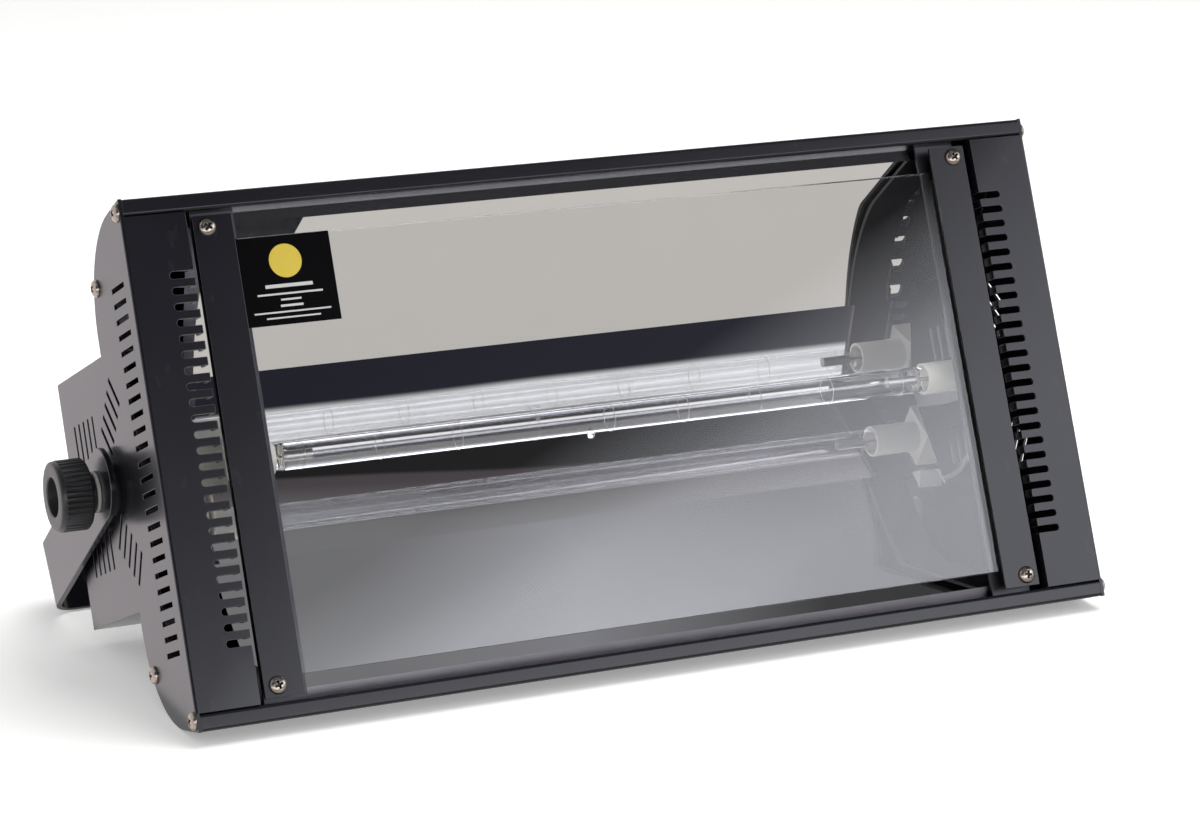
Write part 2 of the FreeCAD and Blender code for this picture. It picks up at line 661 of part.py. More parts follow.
def signal_socket(name, across, male):
    back, deep = d.box_depth, d.signal_bore_depth
    mouth = back + d.flange_sheet
    wide, tall = d.signal_plate / 2, d.signal_plate_tall / 2
    plate = box((across - wide, back, middle - tall), (across + wide, mouth, middle + tall))
    shell = fuse(plate, rod((across, back - d.signal_depth, middle), d.signal_radius, d.signal_depth, "y"))
    inset = d.signal_screw_inset
    screws = []
    for side in (-1, 1):
        spot = (across + (wide - inset) * side, back, middle + (tall - inset) * side)
        screws.append(rod(spot, d.signal_screw, d.flange_sheet, "y"))
    bore = rod((across, mouth - deep, middle), d.signal_bore, deep, "y")
    spots = around(across, d.signal_pin_circle, 3, -90)
    if male:
        pins = [rod((x, mouth - deep - 1, z), d.signal_pin, deep + 1 - d.pin_recess, "y") for x, z in spots]
        return stand(fuse(cut(shell, bore, *screws), *pins), name)
    core = rod((across, mouth - deep, middle), d.signal_core, deep, "y")
    pins = [rod((x, mouth - deep, z), d.signal_pin + d.hole_play, deep, "y") for x, z in spots]
    low, high = latch_room(across, d.latch_play)
    room = box((low[0], mouth - d.latch_depth, low[1]), (high[0], mouth, high[1]))
    return stand(cut(shell, cut(bore, core), room, *pins, *screws), name)


def output_latch(across):
    mouth = d.box_depth + d.flange_sheet
    low, high = latch_room(across, 0)
    key = box((low[0], mouth - d.latch_sunk, low[1]), (high[0], mouth + d.latch_reach, high[1]))
    return stand(group(key), "output_latch")


def power_switch():
    back, centre = d.box_depth, d.switch_across
    wide, tall = d.switch_length / 2 - d.hole_play, d.switch_tall / 2 - d.hole_play
    rim, wall = d.flange_sheet, d.switch_wall
    shell = box((centre - wide, back - d.switch_depth, middle - tall), (centre + wide, back, middle + tall))
    low = (centre - wide - rim, back, middle - tall - rim)
    flange = box(low, (centre + wide + rim, back + rim, middle + tall + rim))
    hollow = box(
        (centre - wide + wall, back - d.switch_depth + wall, middle - tall + wall),
        (centre + wide - wall, back + rim, middle + tall - wall),
    )
    pin_low, pin_high = middle - tall + d.latch_play, middle + tall - d.latch_play
    pin_hole = rod((centre, back, middle - tall), d.rocker_pin + d.stud_play, tall * 2, "z")
    stand(cut(fuse(shell, flange), hollow, pin_hole), "switch_frame")

    rocker = body("Rocker")
    reach = wide - wall - d.latch_play * 1.5
    level = [
        (-reach * 0.94, -d.rocker_low), (reach * 0.94, -d.rocker_low), (reach, -rim), (reach, rim),
        (reach, d.rocker_top), (0, d.rocker_top * 0.8), (-reach, d.rocker_top),
        (-reach, rim), (-reach, -rim),
    ]
    along, aside = cosine(d.rocker_tilt), sine(d.rocker_tilt)
    profile = [(centre + x * along - y * aside, back + x * aside + y * along) for x, y in level]
    low, high = middle - tall + wall + d.latch_play, middle + tall - wall - d.latch_play
    pad(rocker, "XY", low, high - low, profile)
    pin = rod((centre, back, pin_low), d.rocker_pin, pin_high - pin_low, "z")
    return stand(fuse(rocker, pin), "switch_rocker")


def dial(side, word):
    across, back = d.dial_across * side, d.box_depth
    pot_half, pot_front = d.pot_size / 2, panel_inner - d.pot_depth
    low, high = middle - pot_half, middle + pot_half
    can = box((across - pot_half, pot_front, low), (across + pot_half, panel_inner, high))
    bush = rod((across, panel_inner, middle), d.bush_radius, d.sheet + d.dial_gap / 2, "y")
    bore_start = pot_front + d.sheet
    foot, skirt_tall = back + d.dial_gap, d.dial_height / 4
    bore = rod((across, bore_start, middle), d.dial_shaft + d.dial_play, foot - bore_start, "y")
    stand(cut(fuse(can, bush), bore), word + "_potentiometer")
    shaft = rod((across, bore_start + d.face_play, middle), d.dial_shaft, foot - bore_start, "y")
    skirt = rod((across, foot, middle), d.dial_radius, skirt_tall, "y")
    grip_start = foot + skirt_tall
    grip = cone((across, grip_start, middle), d.dial_grip, d.dial_tip, d.dial_height - skirt_tall, "y")
    low = (across - d.mark_width / 2, foot + d.mark_width, middle + d.mark_start)
    mark = box(low, (across + d.mark_width / 2, foot + d.dial_height + d.mark_rise, middle + d.mark_end))
    return stand(fuse(shaft, skirt, grip, mark), word + "_knob")


rear_panel()
power_inlet()
fuse_holder()
signal_socket("signal_input", d.signal_across, True)
signal_socket("signal_output", d.signal_across + d.signal_step, False)
output_latch(d.signal_across + d.signal_step)
power_switch()
dial(-1, "rate")
dial(1, "intensity")


# ---- tilting bracket and its clamp knobs
def tilting_bracket():
    yoke = body("Yoke")
    tail = -d.bracket_tail
    far, near = d.bracket_reach, d.bracket_reach - d.bracket_sheet
    inside_bend = d.bracket_bend - d.bracket_sheet
    section = [
        (-arm_outer, tail), (-arm_outer, far, d.bracket_bend), (arm_outer, far, d.bracket_bend),
        (arm_outer, tail), (arm_inner, tail), (arm_inner, near, inside_bend),
        (-arm_inner, near, inside_bend), (-arm_inner, tail),
    ]
    pad(yoke, "XY", -bar_half, d.bracket_width, section)
    pocket(yoke, "YZ", -arm_outer, arm_outer * 2, holes=[(0, 0, d.stud_radius + d.arm_hole_play)])
    holes = [(0, 0, d.centre_hole_radius)]
    holes += [(d.side_hole_offset * side, 0, d.side_hole_radius) for side in (-1, 1)]
    pocket(yoke, "XZ", -far, d.bracket_sheet, holes=holes)
    ends = body("Rounded_ends")
    reach = d.bracket_reach + 1
    silhouette = [(tail, -bar_half, d.arm_round), (reach, -bar_half)]
    silhouette += [(reach, bar_half), (tail, bar_half, d.arm_round)]
    pad(ends, "YZ", -arm_outer - 1, (arm_outer + 1) * 2, silhouette)
    bracket = doc.addObject("Part::Common", "Bracket")
    bracket.Base, bracket.Tool = yoke, ends
    bracket.Label = "tilting_bracket"
    base = (pivot_y + shift_y, pivot_z + shift_z)
    hang = FreeCAD.Rotation(V(-1, 0, 0), droop.value)
    bracket.Placement = FreeCAD.Placement(V(0, base[0].value, base[1].value), hang)
    bracket.setExpression("Placement.Base.y", base[0].text)
    bracket.setExpression("Placement.Base.z", base[1].text)
    bracket.setExpression("Placement.Rotation.Angle", droop.text)
    subparts.append(bracket)


def pivot_hardware(word, side):
    def along(near, far):
        # A stretch of the pivot axis, measured outwards from the housing's middle.
        return (near if side > 0 else -far), size(far) - near

    def disc(near, far, radius):
        start, length = along(near, far)
        return rod((start, d.pivot_depth, middle), radius, length)

    face = arm_outer + d.face_play
    washer_end = face + d.washer_sheet
    neck_start = washer_end + d.face_play
    grip_start = neck_start + d.neck_length
    grip_end = grip_start + d.knob_length
    nut_end = inner - d.nut_height
    stud = d.stud_radius
    bore = stud + d.stud_play
    washer = cut(disc(face, washer_end, d.washer_radius), disc(face, washer_end, bore + d.stud_play))
    stand(washer, word + "_knob_washer")
    disc_end = arm_inner - d.face_play
    friction = cut(disc(half, disc_end, d.friction_radius), disc(half, disc_end, bore + d.hole_play))
    nut = cut(disc(nut_end, inner, d.nut_radius), disc(nut_end, inner, bore))

    grip = body("Grip")
    start, length = along(grip_start, grip_end)
    pad(grip, "YZ", start, length, holes=[(d.pivot_depth, middle, d.knob_radius)])
    edge = (d.pivot_depth + d.knob_radius, middle, d.knob_groove)
    groove = pocket(grip, "YZ", start, length, holes=[edge])
    pattern = ring_pattern(grip, groove, knob_grooves)
    pattern.Axis = (knob_axis(grip), ["N_Axis"])
    recess_start, recess_length = along(grip_end - d.knob_recess, grip_end)
    recess = (d.pivot_depth, middle, d.knob_recess_radius)
    pocket(grip, "YZ", recess_start, recess_length, holes=[recess])
    neck = disc(neck_start, grip_start + 1, d.neck_radius)
    head_start = grip_end - d.knob_recess
    knob = cut(fuse(grip, neck), disc(neck_start, head_start, bore))
    stand(knob, word + "_knob")

    shank = disc(nut_end - d.stud_tail, head_start, stud)
    head = body("Stud_head")
    start, length = along(head_start, head_start + d.stud_head)
    corners = []
    for corner in range(6):
        turn = math.radians(60 * corner)
        across, up = d.stud_head_radius * math.cos(turn), d.stud_head_radius * math.sin(turn)
        corners.append((d.pivot_depth + across, middle + up))
    pad(head, "YZ", start, length, corners)
    stand(fuse(shank, head), word + "_knob_stud")
    return friction, nut


def knob_axis(owner):
    # A construction sketch whose normal is the pivot axis.
    sketch = sketch_on(owner, "YZ")
    sketch.AttachmentOffset.Base = V(d.pivot_depth.value, middle.value, 0)
    sketch.setExpression("AttachmentOffset.Base.x", d.pivot_depth.text)
    sketch.setExpression("AttachmentOffset.Base.y", middle.text)
    mark = sketch.addGeometry(Part.Point(V(0, 0, 0)), True)
    sketch.addConstraint(Sketcher.Constraint("Coincident", mark, 1, -1, 1))
    return sketch


tilting_bracket()
friction_washers, pivot_nuts = zip(pivot_hardware("left", -1), pivot_hardware("right", 1))
stand(group(*friction_washers), "friction_washers")
stand(group(*pivot_nuts), "pivot_nuts")


# ---- window
retainer_low, retainer_high = d.retainer_end_inset, d.height - d.retainer_end_inset
retainer_screw_rises = (retainer_low + d.retainer_screw_rise, retainer_high - d.retainer_screw_rise)


def window_end(word, side):
    spots = [((half - d.retainer_screw_inset) * side, rise) for rise in retainer_screw_rises]
    start, length = inward(side, d.retainer_inset, d.retainer_inset + d.retainer_width)
    strip = body(word + "_glass_retainer")
    holes = [(across, rise, d.screw_radius + d.hole_play) for across, rise in spots]
    plain = rectangle(start, retainer_low, start + length, retainer_high)
    pad(strip, "XZ", -retainer_back, d.sheet, plain, holes=holes)
    stand(strip, word + "_glass_retainer")

    inset = d.retainer_inset + d.rebate / 2
    start, length = inward(side, inset, d.retainer_inset + d.retainer_width + d.bracket_lap)
    back = rest_front + d.sheet
    plate = box((start, rest_front, d.lip_height), (start + length, back, d.height - d.lip_height))
    bosses, bores = [], []
    front = retainer_back
    for across, rise in spots:
        bosses.append(rod((across, front, rise), d.boss_radius, rest_front - front, "y"))
        bores.append(rod((across, front, rise), d.screw_radius + d.screw_play, back - front, "y"))
    stand(cut(fuse(plate, *bosses), *bores), word + "_glass_bracket")

    inset = d.retainer_inset + d.rebate
    start, length = inward(side, inset, inset + d.gasket_width)
    low, high = d.glass_low + d.rebate, d.glass_low + glass_tall - d.rebate
    pads = []
    for near, far in ((front, glass_front), (glass_back, rest_front)):
        pads.append(box((start, near, low), (start + length, far, high)))
    stand(group(*pads), word + "_glass_gaskets")
    return [pan_screw((across, d.retainer_front, rise), "y", -1, d.screw_length) for across, rise in spots]


def window_glass():
    across = half - d.glass_inset
    pane = box((-across, glass_front, d.glass_low), (across, glass_back, d.glass_low + glass_tall))
    stand(group(pane), "front_glass")
    left = d.retainer_inset + d.retainer_width - half + d.label_drop
    top = d.glass_low + glass_tall - d.label_drop
    low = (left, glass_front - d.label_sheet, top - d.label_tall)
    label = box(low, (left + d.label_width, glass_front, top))
    stand(group(label), "window_label")


def reflector():
    # Each fold's depth and rise, the direction across the sheet there, as parts of one, and its sweep.
    mirror = body("Mirror")
    bends = (
        (d.mirror_front, d.mirror_foot, 0.79, 0.61, 0),
        (d.mirror_mid_depth, middle - d.mirror_mid_rise, 0.88, 0.5, d.mirror_sweep),
        (d.mirror_back_depth, middle - d.mirror_back_rise, 0.95, 0.36, 0),
    )
    front = [(depth, rise, sweep) for depth, rise, back, down, sweep in bends]
    across_fold = d.mirror_sheet * 1.25
    behind = [
        (depth + across_fold * back, rise - across_fold * down, sweep + d.mirror_sheet if sweep else 0)
        for depth, rise, back, down, sweep in bends
    ]
    heel = d.mirror_front + d.mirror_sheet
    front = [(d.mirror_front, d.lip_height)] + front
    behind = [(heel, d.lip_height)] + behind
    section = front + [(d.mirror_depth, middle)] + mirrored(False, *front)[::-1]
    section += mirrored(False, *behind) + [(d.mirror_depth + d.mirror_sheet, middle)] + behind[::-1]
    length = d.width - d.mirror_left_inset - d.mirror_right_inset
    pad(mirror, "YZ", d.mirror_left_inset - half, length, section)
    return stand(mirror, "reflector")


screws = window_end("left", -1) + window_end("right", 1)
stand(group(*screws), "retainer_screws")
window_glass()
reflector()


# ---- flash tube
def flash_tube():
    depth, rise = d.lamp_depth, middle
    tube_end = base_inner + d.tube_seat
    clear_end = tube_end - d.tube_seal
    tip_end = clear_end - d.tube_wall
    pin_end = tip_end + d.pin_length
    pin_hole = d.pin_radius + d.stud_play
    seals, tips = [], []
    for side, word in ((-1, "left"), (1, "right")):
        def length(near, far, radius):
            return rod((near if side > 0 else -far, depth, rise), radius, far - near)

        seals.append(length(clear_end - 1, tube_end, pin_hole))
        tip = length(tip_end - d.electrode_length, tip_end, d.electrode_radius)
        tips.append(fuse(tip, length(tip_end - 1, pin_end, d.pin_radius)))
        sleeve = length(base_inner, base_inner + d.base_length, d.base_radius)
        bore = length(base_inner, tube_end + d.face_play, d.tube_radius + d.base_play)
        pin_bore = length(tube_end, pin_end + d.face_play, pin_hole)
        stand(cut(sleeve, bore, pin_bore), word + "_lamp_base")
    quartz = rod((-tube_end, depth, rise), d.tube_radius, tube_end * 2)
    hollow = rod((-clear_end, depth, rise), d.tube_radius - d.tube_wall, clear_end * 2)
    stand(cut(quartz, hollow, *seals), "flash_tube")
    stand(group(*tips), "lamp_electrodes")


def trigger_wire():
    depth, rise = d.lamp_depth, middle
    # Rings at even steps on both sides of the middle, and a straight wire that joins their tops.
    rings, each_side = [], 4
    near = d.tube_radius + d.base_play
    far = near + d.wire_radius * 1.6
    for step in range(-each_side, each_side + 1):
        spot = (d.ring_pitch * step - d.ring_width / 2, depth, rise)
        rings.append(cut(rod(spot, far, d.ring_width), rod(spot, near, d.ring_width)))
    reach = d.ring_pitch * each_side
    line = rod((-reach, depth, rise + near + d.wire_radius * 0.9), d.wire_radius, reach * 2)
    stand(fuse(line, *rings), "trigger_wire")


def tube_along(points, radius, bend):
    # A round wire along straight runs, joined by arcs that use up to a set share of each run.
    share = 0.45
    spots = [V(*[size(part).value for part in point]) for point in points]
    edges, start = [], spots[0]
    for index in range(1, len(spots) - 1):
        corner = spots[index]
        back, forward = spots[index - 1] - corner, spots[index + 1] - corner
        room = min(back.Length, forward.Length) * share
        back.normalize()
        forward.normalize()
        opening = back.getAngle(forward) / 2
        reach = min(bend / math.tan(opening), room)
        turn = reach * math.tan(opening)
        bisector = (back + forward).normalize()
        centre = corner + bisector * (turn / math.sin(opening))
        first, last = corner + back * reach, corner + forward * reach
        edges.append(Part.LineSegment(start, first).toShape())
        edges.append(Part.Arc(first, centre - bisector * turn, last).toShape())
        start = last
    edges.append(Part.LineSegment(start, spots[-1]).toShape())
    path = Part.Wire(edges)
    ring = Part.Wire(Part.Circle(spots[0], spots[1] - spots[0], radius).toShape())
    solid = path.makePipeShell([ring], True, False)
    filled = solid.Volume / (math.pi * radius ** 2 * path.Length)
    print("lead of %.1f mm, its volume %.3f of its section times its length" % (path.Length, filled))
    return solid


def lamp_end(word, side):
    depth, rise = d.lamp_depth, middle
    near = base_inner + d.base_length
    far = near + d.socket_length
    edge = d.socket_size / 2
    start = near if side > 0 else -far
    block = box((start, depth - edge, rise - edge), (start + d.socket_length, depth + edge, rise + edge))
    stand(group(block), word + "_lamp_socket")

    arm = body(word + "_lamp_arm")
    inside, outside = far * side, (far + d.sheet) * side
    wall = d.chassis_depth - d.sheet
    tip = (chassis_half - d.chassis_flange) * side
    low = rise - d.arm_height / 2
    pad(arm, "XY", low, d.arm_height, [
        (inside, depth - edge), (inside, wall), (tip, wall), (tip, d.chassis_depth),
        (outside, d.chassis_depth, d.bend_radius), (outside, depth - edge),
    ])
    stand(arm, word + "_lamp_arm")

    across = (near + far) / 2 * side
    foot = rise - edge - d.face_play
    behind = d.mirror_depth + d.lead_behind
    inside_x = (chassis_half - d.chassis_flange * 2) * side
    landing = box_low + d.lead_landing
    route = [
        (across, depth, foot), (across, depth, foot - d.lead_drop),
        (across, behind, landing + d.lead_slope), (inside_x + d.lead_side * side, behind, landing),
        (inside_x, d.chassis_depth - d.lead_radius, landing),
    ]
    lead = doc.addObject("Part::Feature", word + "_lamp_lead")
    lead.Shape = tube_along(route, d.lead_radius.value, d.lead_bend.value)
    stand(lead, word + "_lamp_lead")


flash_tube()
trigger_wire()
lamp_end("left", -1)
lamp_end("right", 1)


# ---- chassis and electronics
def chassis():
    plate = body("chassis_plate")
    low, high = box_low + d.sheet, box_high - d.sheet
    back = d.chassis_depth + d.sheet
    flange = d.chassis_flange
    front, far = d.chassis_depth, back + flange
    section = [
        (front, low), (far, low), (far, low + d.sheet), (back, low + d.sheet),
        (back, high - d.sheet), (far, high - d.sheet), (far, high), (front, high),
    ]
    pad(plate, "YZ", -chassis_half, chassis_half * 2, section)
    stand(plate, "chassis_plate")
    return back


def boards(back):
    face = back + d.board_gap
    left = -chassis_half + d.chassis_flange
    low, high = middle - d.board_tall / 2, middle + d.board_tall / 2
    posts, holes = [], []
    inset = d.standoff_inset
    for across in (left + inset, left + d.board_length - inset):
        for rise in (low + inset, high - inset):
            posts.append(cut(rod((across, back, rise), d.standoff_radius, d.board_gap, "y"),
                             rod((across, back, rise), d.standoff_radius / 2, d.board_gap, "y")))
            holes.append((across, rise, d.standoff_radius / 2))
    stand(group(*posts), "board_standoffs")
    board = body("power_board")
    plain = rectangle(left, low, left + d.board_length, high)
    pad(board, "XZ", -(face + d.board_sheet), d.board_sheet, plain, holes=holes)
    stand(board, "power_board")
    return left, face + d.board_sheet


def electronics(left, face):
    cans = []
    across = left + d.capacitor_radius + d.board_margin
    for column in (0, 1):
        for half_step in (-1, 1):
            spot = (across + d.capacitor_step * column, face, middle + d.capacitor_step / 2 * half_step)
            cans.append(rod(spot, d.capacitor_radius, d.capacitor_length, "y"))
    stand(group(*cans), "capacitors")

    start = across + d.capacitor_step + d.capacitor_radius + d.part_gap
    low = middle - d.sink_tall / 2
    fins = [box((start, face, low), (start + d.sink_length, face + d.sink_base, low + d.sink_tall))]
    high = low + d.sink_tall
    for number in range(fin_count):
        edge = start + (d.sink_length - d.fin_sheet) * number / (fin_count - 1)
        fins.append(box((edge, face, low), (edge + d.fin_sheet, face + d.sink_depth, high)))
    stand(fuse(*fins), "heat_sink")
    thyristors = []
    high = low - d.thyristor_gap
    for number in (0, 1):
        edge = start + d.part_gap + d.thyristor_step * number
        far = (edge + d.thyristor_width, face + d.thyristor_depth, high)
        thyristors.append(box((edge, face, high - d.thyristor_tall), far))
    stand(group(*thyristors), "thyristors")

    start = start + d.sink_length + d.part_gap + d.choke_radius
    spot = (start, face, middle - d.choke_drop)
    hole = rod(spot, d.choke_hole, d.choke_height, "y")
    stand(cut(rod(spot, d.choke_radius, d.choke_height, "y"), hole), "choke_coil")
    spot = (start - d.trigger_length / 2, face, middle + d.trigger_lift)
    trigger = box(spot, (spot[0] + d.trigger_length, face + d.trigger_depth, spot[2] + d.trigger_tall))
    stand(group(trigger), "trigger_transformer")

    reach, tall = d.control_board_half, d.control_board_tall / 2
    back = panel_inner - d.pot_depth
    board = box((-reach, back - d.board_sheet, middle - tall), (reach, back, middle + tall))
    stand(group(board), "control_board")


def fan():
    # The frame stands against the rear panel, and the rotor's shaft runs in its middle plate.
    low_x = d.fan_inset + d.nut_height - inner
    back, edge = panel_inner, d.fan_size / 2
    depth = back - edge
    frame = box((low_x, back - d.fan_size, middle - edge), (low_x + d.fan_thick, back, middle + edge))
    hole = rod((low_x, depth, middle), d.fan_hole, d.fan_thick)
    mount = rod((low_x, depth, middle), d.hub_radius, d.fan_plate)
    reaches = (edge, d.strut_half)
    struts = []
    for deep, tall in (reaches, reaches[::-1]):
        far = (low_x + d.fan_plate, depth + deep, middle + tall)
        struts.append(box((low_x, depth - deep, middle - tall), far))
    bore = rod((low_x, depth, middle), d.shaft_radius + d.stud_play, d.fan_plate)
    stand(cut(fuse(cut(frame, hole), mount, *struts), bore), "fan_frame")

    hub_start = low_x + d.fan_plate + d.fan_play / 2
    hub_end = low_x + d.fan_thick - d.fan_play / 2
    hub = rod((hub_start, depth, middle), d.hub_radius, hub_end - hub_start)
    shaft = rod((low_x + d.fan_play / 5, depth, middle), d.shaft_radius, hub_start - low_x)
    blades = []
    foot = d.hub_radius - d.blade_root
    for number in range(blade_count):
        blade = doc.addObject("Part::Box", "Blade")
        tall = d.fan_hole - d.fan_play - foot
        wide = (hub_end - hub_start) * 0.8
        blade.setExpression("Length", wide.text)
        blade.setExpression("Width", d.blade_sheet.text)
        blade.setExpression("Height", tall.text)
        pitch = FreeCAD.Rotation(V(0, 0, 1), d.blade_pitch.value)
        turn = FreeCAD.Rotation(V(1, 0, 0), 360 / blade_count * number)
        corner = pitch.multVec(V(-wide.value / 2, -d.blade_sheet.value / 2, 0))
        root_spot = corner + V(0, 0, foot.value)
        centre = V(((hub_start + hub_end) / 2).value, depth.value, middle.value)
        blade.Placement = FreeCAD.Placement(centre + turn.multVec(root_spot), turn * pitch)
        blades.append(blade)
    stand(fuse(hub, shaft, *blades), "fan_rotor")


board_left, board_face = boards(chassis())
electronics(board_left, board_face)
fan()

# ---- check every piece, then write it
doc.recompute()
faults = [item.Label for item in doc.Objects if "Invalid" in item.State or "Error" in item.State]
if faults:
    raise RuntimeError("failed objects: " + ", ".join(faults))
os.makedirs("parts", exist_ok=True)
for piece in subparts:
    shape = piece.Shape
    if shape.isNull() or not shape.isValid() or not shape.Solids:
        raise RuntimeError("bad shape: " + piece.Label)
for piece in subparts:
    piece.Shape.exportStep("parts/%s.step" % piece.Label)
print(len(subparts), "pieces written")
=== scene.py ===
import json
import math
import bpy
from mathutils import Matrix, Vector


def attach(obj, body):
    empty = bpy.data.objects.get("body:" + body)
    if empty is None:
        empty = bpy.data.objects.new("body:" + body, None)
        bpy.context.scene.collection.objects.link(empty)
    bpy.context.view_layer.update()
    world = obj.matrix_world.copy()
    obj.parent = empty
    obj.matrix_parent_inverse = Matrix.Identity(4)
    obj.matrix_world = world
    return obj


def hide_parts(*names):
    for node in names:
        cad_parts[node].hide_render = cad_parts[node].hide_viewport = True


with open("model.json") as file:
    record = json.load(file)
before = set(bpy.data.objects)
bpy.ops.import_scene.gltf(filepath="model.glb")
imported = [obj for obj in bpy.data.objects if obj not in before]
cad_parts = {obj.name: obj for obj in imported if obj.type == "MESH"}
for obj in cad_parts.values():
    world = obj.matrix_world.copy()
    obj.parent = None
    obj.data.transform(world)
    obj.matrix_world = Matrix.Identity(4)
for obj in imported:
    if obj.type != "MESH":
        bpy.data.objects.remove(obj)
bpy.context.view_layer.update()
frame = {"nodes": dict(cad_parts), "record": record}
nodes = frame["nodes"]
mm = 0.001

# The lamp is drawn upright, y from its front to its back and z up its window, and then leans back.
lean = {"angle": 23.0, "back": -106.18, "up": 6.7955}
leanPlace = Matrix.Translation((0, lean["back"] * mm, lean["up"] * mm)) @ Matrix.Rotation(
    -math.radians(lean["angle"]), 4, "X"
)
uprightPlace = leanPlace.inverted()
midRise = 111  # the window's middle line, on which the tube and both knobs lie
standToSide = Matrix.Rotation(math.radians(90), 4, "Y")
standToFront = Matrix.Rotation(math.radians(90), 4, "X")


# handling objects
def choose(*pieces):
    if bpy.context.object and bpy.context.object.mode != "OBJECT":
        bpy.ops.object.mode_set(mode="OBJECT")
    bpy.ops.object.select_all(action="DESELECT")
    for piece in pieces:
        piece.select_set(True)
    bpy.context.view_layer.objects.active = pieces[-1]


def applyModifiers(piece):
    choose(piece)
    for modifier in list(piece.modifiers):
        bpy.ops.object.modifier_apply(modifier=modifier.name)


def pickFaces(piece, wanted):
    # Goes into edit mode with only the wanted faces selected.
    choose(piece)
    bpy.ops.object.mode_set(mode="EDIT")
    bpy.ops.mesh.select_mode(type="FACE")
    bpy.ops.mesh.select_all(action="DESELECT")
    bpy.ops.object.mode_set(mode="OBJECT")
    for face in piece.data.polygons:
        face.select = wanted(face)
    bpy.ops.object.mode_set(mode="EDIT")


def leaveEdit():
    bpy.ops.object.mode_set(mode="OBJECT")


def place(piece, matrix):
    # Puts a finished piece in its place and leaves that place in its mesh.
    piece.data.transform(matrix @ piece.matrix_world)
    piece.matrix_world = Matrix.Identity(4)
    piece.data.update()


def joined(pieces, name):
    choose(*pieces)
    bpy.ops.object.join()
    made = bpy.context.object
    made.name = name
    made.data.name = name
    return made


def copyOf(piece, matrix):
    twin = piece.copy()
    twin.data = piece.data.copy()
    bpy.context.scene.collection.objects.link(twin)
    place(twin, matrix)
    return twin


def discard(piece):
    bpy.data.objects.remove(piece)


def smoothBelow(piece, degrees):
    # Smooths the shading, all but over edges sharper than this.
    choose(piece)
    bpy.ops.object.shade_smooth_by_angle(angle=math.radians(degrees))


def markEdges(piece, sharpness, spared):
    # Marks the sharp edges that are to be rounded, all but those that end at a spared spot.
    choose(piece)
    bpy.ops.object.mode_set(mode="EDIT")
    bpy.ops.mesh.select_mode(type="EDGE")
    bpy.ops.mesh.select_all(action="DESELECT")
    bpy.ops.mesh.edges_select_sharp(sharpness=math.radians(sharpness))
    leaveEdit()
    spots = piece.data.vertices
    kept = [edge.index for edge in piece.data.edges
            if edge.select and not any(spared(uprightPlace @ spots[end].co) for end in edge.vertices)]
    bpy.ops.object.mode_set(mode="EDIT")
    bpy.ops.mesh.select_all(action="DESELECT")
    leaveEdit()
    for index in kept:
        piece.data.edges[index].select = True
    bpy.ops.object.mode_set(mode="EDIT")
    bpy.ops.transform.edge_bevelweight(value=1)
    leaveEdit()


def softenEdges(piece, width, sharpness=30, edgeSlot=None, spared=None):
    # Rounds every sharp edge a little, and keeps the flats flat in the light.
    if spared:
        markEdges(piece, sharpness, spared)
    if width:
        bevel = piece.modifiers.new("soften", "BEVEL")
        bevel.width = width
        bevel.segments = 2
        bevel.limit_method = "WEIGHT" if spared else "ANGLE"
        bevel.angle_limit = math.radians(sharpness)
        bevel.use_clamp_overlap = False
        # The rounded faces may take another finish; for the sheet metal it is the lighter edge paint, a
        # painted highlight.
        if edgeSlot is not None:
            bevel.material = edgeSlot
        applyModifiers(piece)
    smoothBelow(piece, 50)
    even = piece.modifiers.new("even", "WEIGHTED_NORMAL")
    even.keep_sharp = True
    applyModifiers(piece)


def ownCopy(nodeName, pieceName):
    # A clean mesh of a CAD node, welded and with its flat faces whole.
    piece = nodes[nodeName].copy()
    piece.data = nodes[nodeName].data.copy()
    piece.name = pieceName
    piece.data.name = pieceName
    for key in list(piece.keys()):
        del piece[key]
    piece.parent = None
    bpy.context.scene.collection.objects.link(piece)
    choose(piece)
    bpy.ops.object.mode_set(mode="EDIT")
    bpy.ops.mesh.select_all(action="SELECT")
    bpy.ops.mesh.remove_doubles(threshold=2e-6)
    bpy.ops.mesh.dissolve_limited(angle_limit=math.radians(0.6))
    leaveEdit()
    return piece


def give(piece, *finishes):
    piece.data.materials.clear()
    for finish in finishes:
        piece.data.materials.append(finish)


def settle(piece, bodyName, nodeName):
    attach(piece, bodyName)
    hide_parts(nodeName)


def uprightCorners(piece):
    # The lowest and the highest corner of a piece's box in the upright frame.
    spots = [uprightPlace @ vertex.co for vertex in piece.data.vertices]
    low = Vector([min(spot[axis] for spot in spots) for axis in range(3)])
    high = Vector([max(spot[axis] for spot in spots) for axis in range(3)])
    return low, high


def solidBoxes(nodeName):
    # The upright corners of each separate solid in a CAD node, from left to right.
    ownCopy(nodeName, "counted")
    bpy.ops.object.mode_set(mode="EDIT")
    bpy.ops.mesh.select_all(action="SELECT")
    bpy.ops.mesh.separate(type="LOOSE")
    leaveEdit()
    boxes = []
    for piece in list(bpy.context.selected_objects):
        boxes.append(uprightCorners(piece))
        discard(piece)
    return sorted(boxes, key=lambda corners: tuple(round(value, 4) for value in corners[0]))


def block(name, low, high):
    bpy.ops.mesh.primitive_cube_add(size=1)
    piece = bpy.context.object
    piece.name = name
    middle = (Vector(low) + Vector(high)) / 2
    stretch = Matrix.Diagonal((*(Vector(high) - Vector(low)), 1))
    piece.data.transform(Matrix.Translation(middle) @ stretch)
    return piece


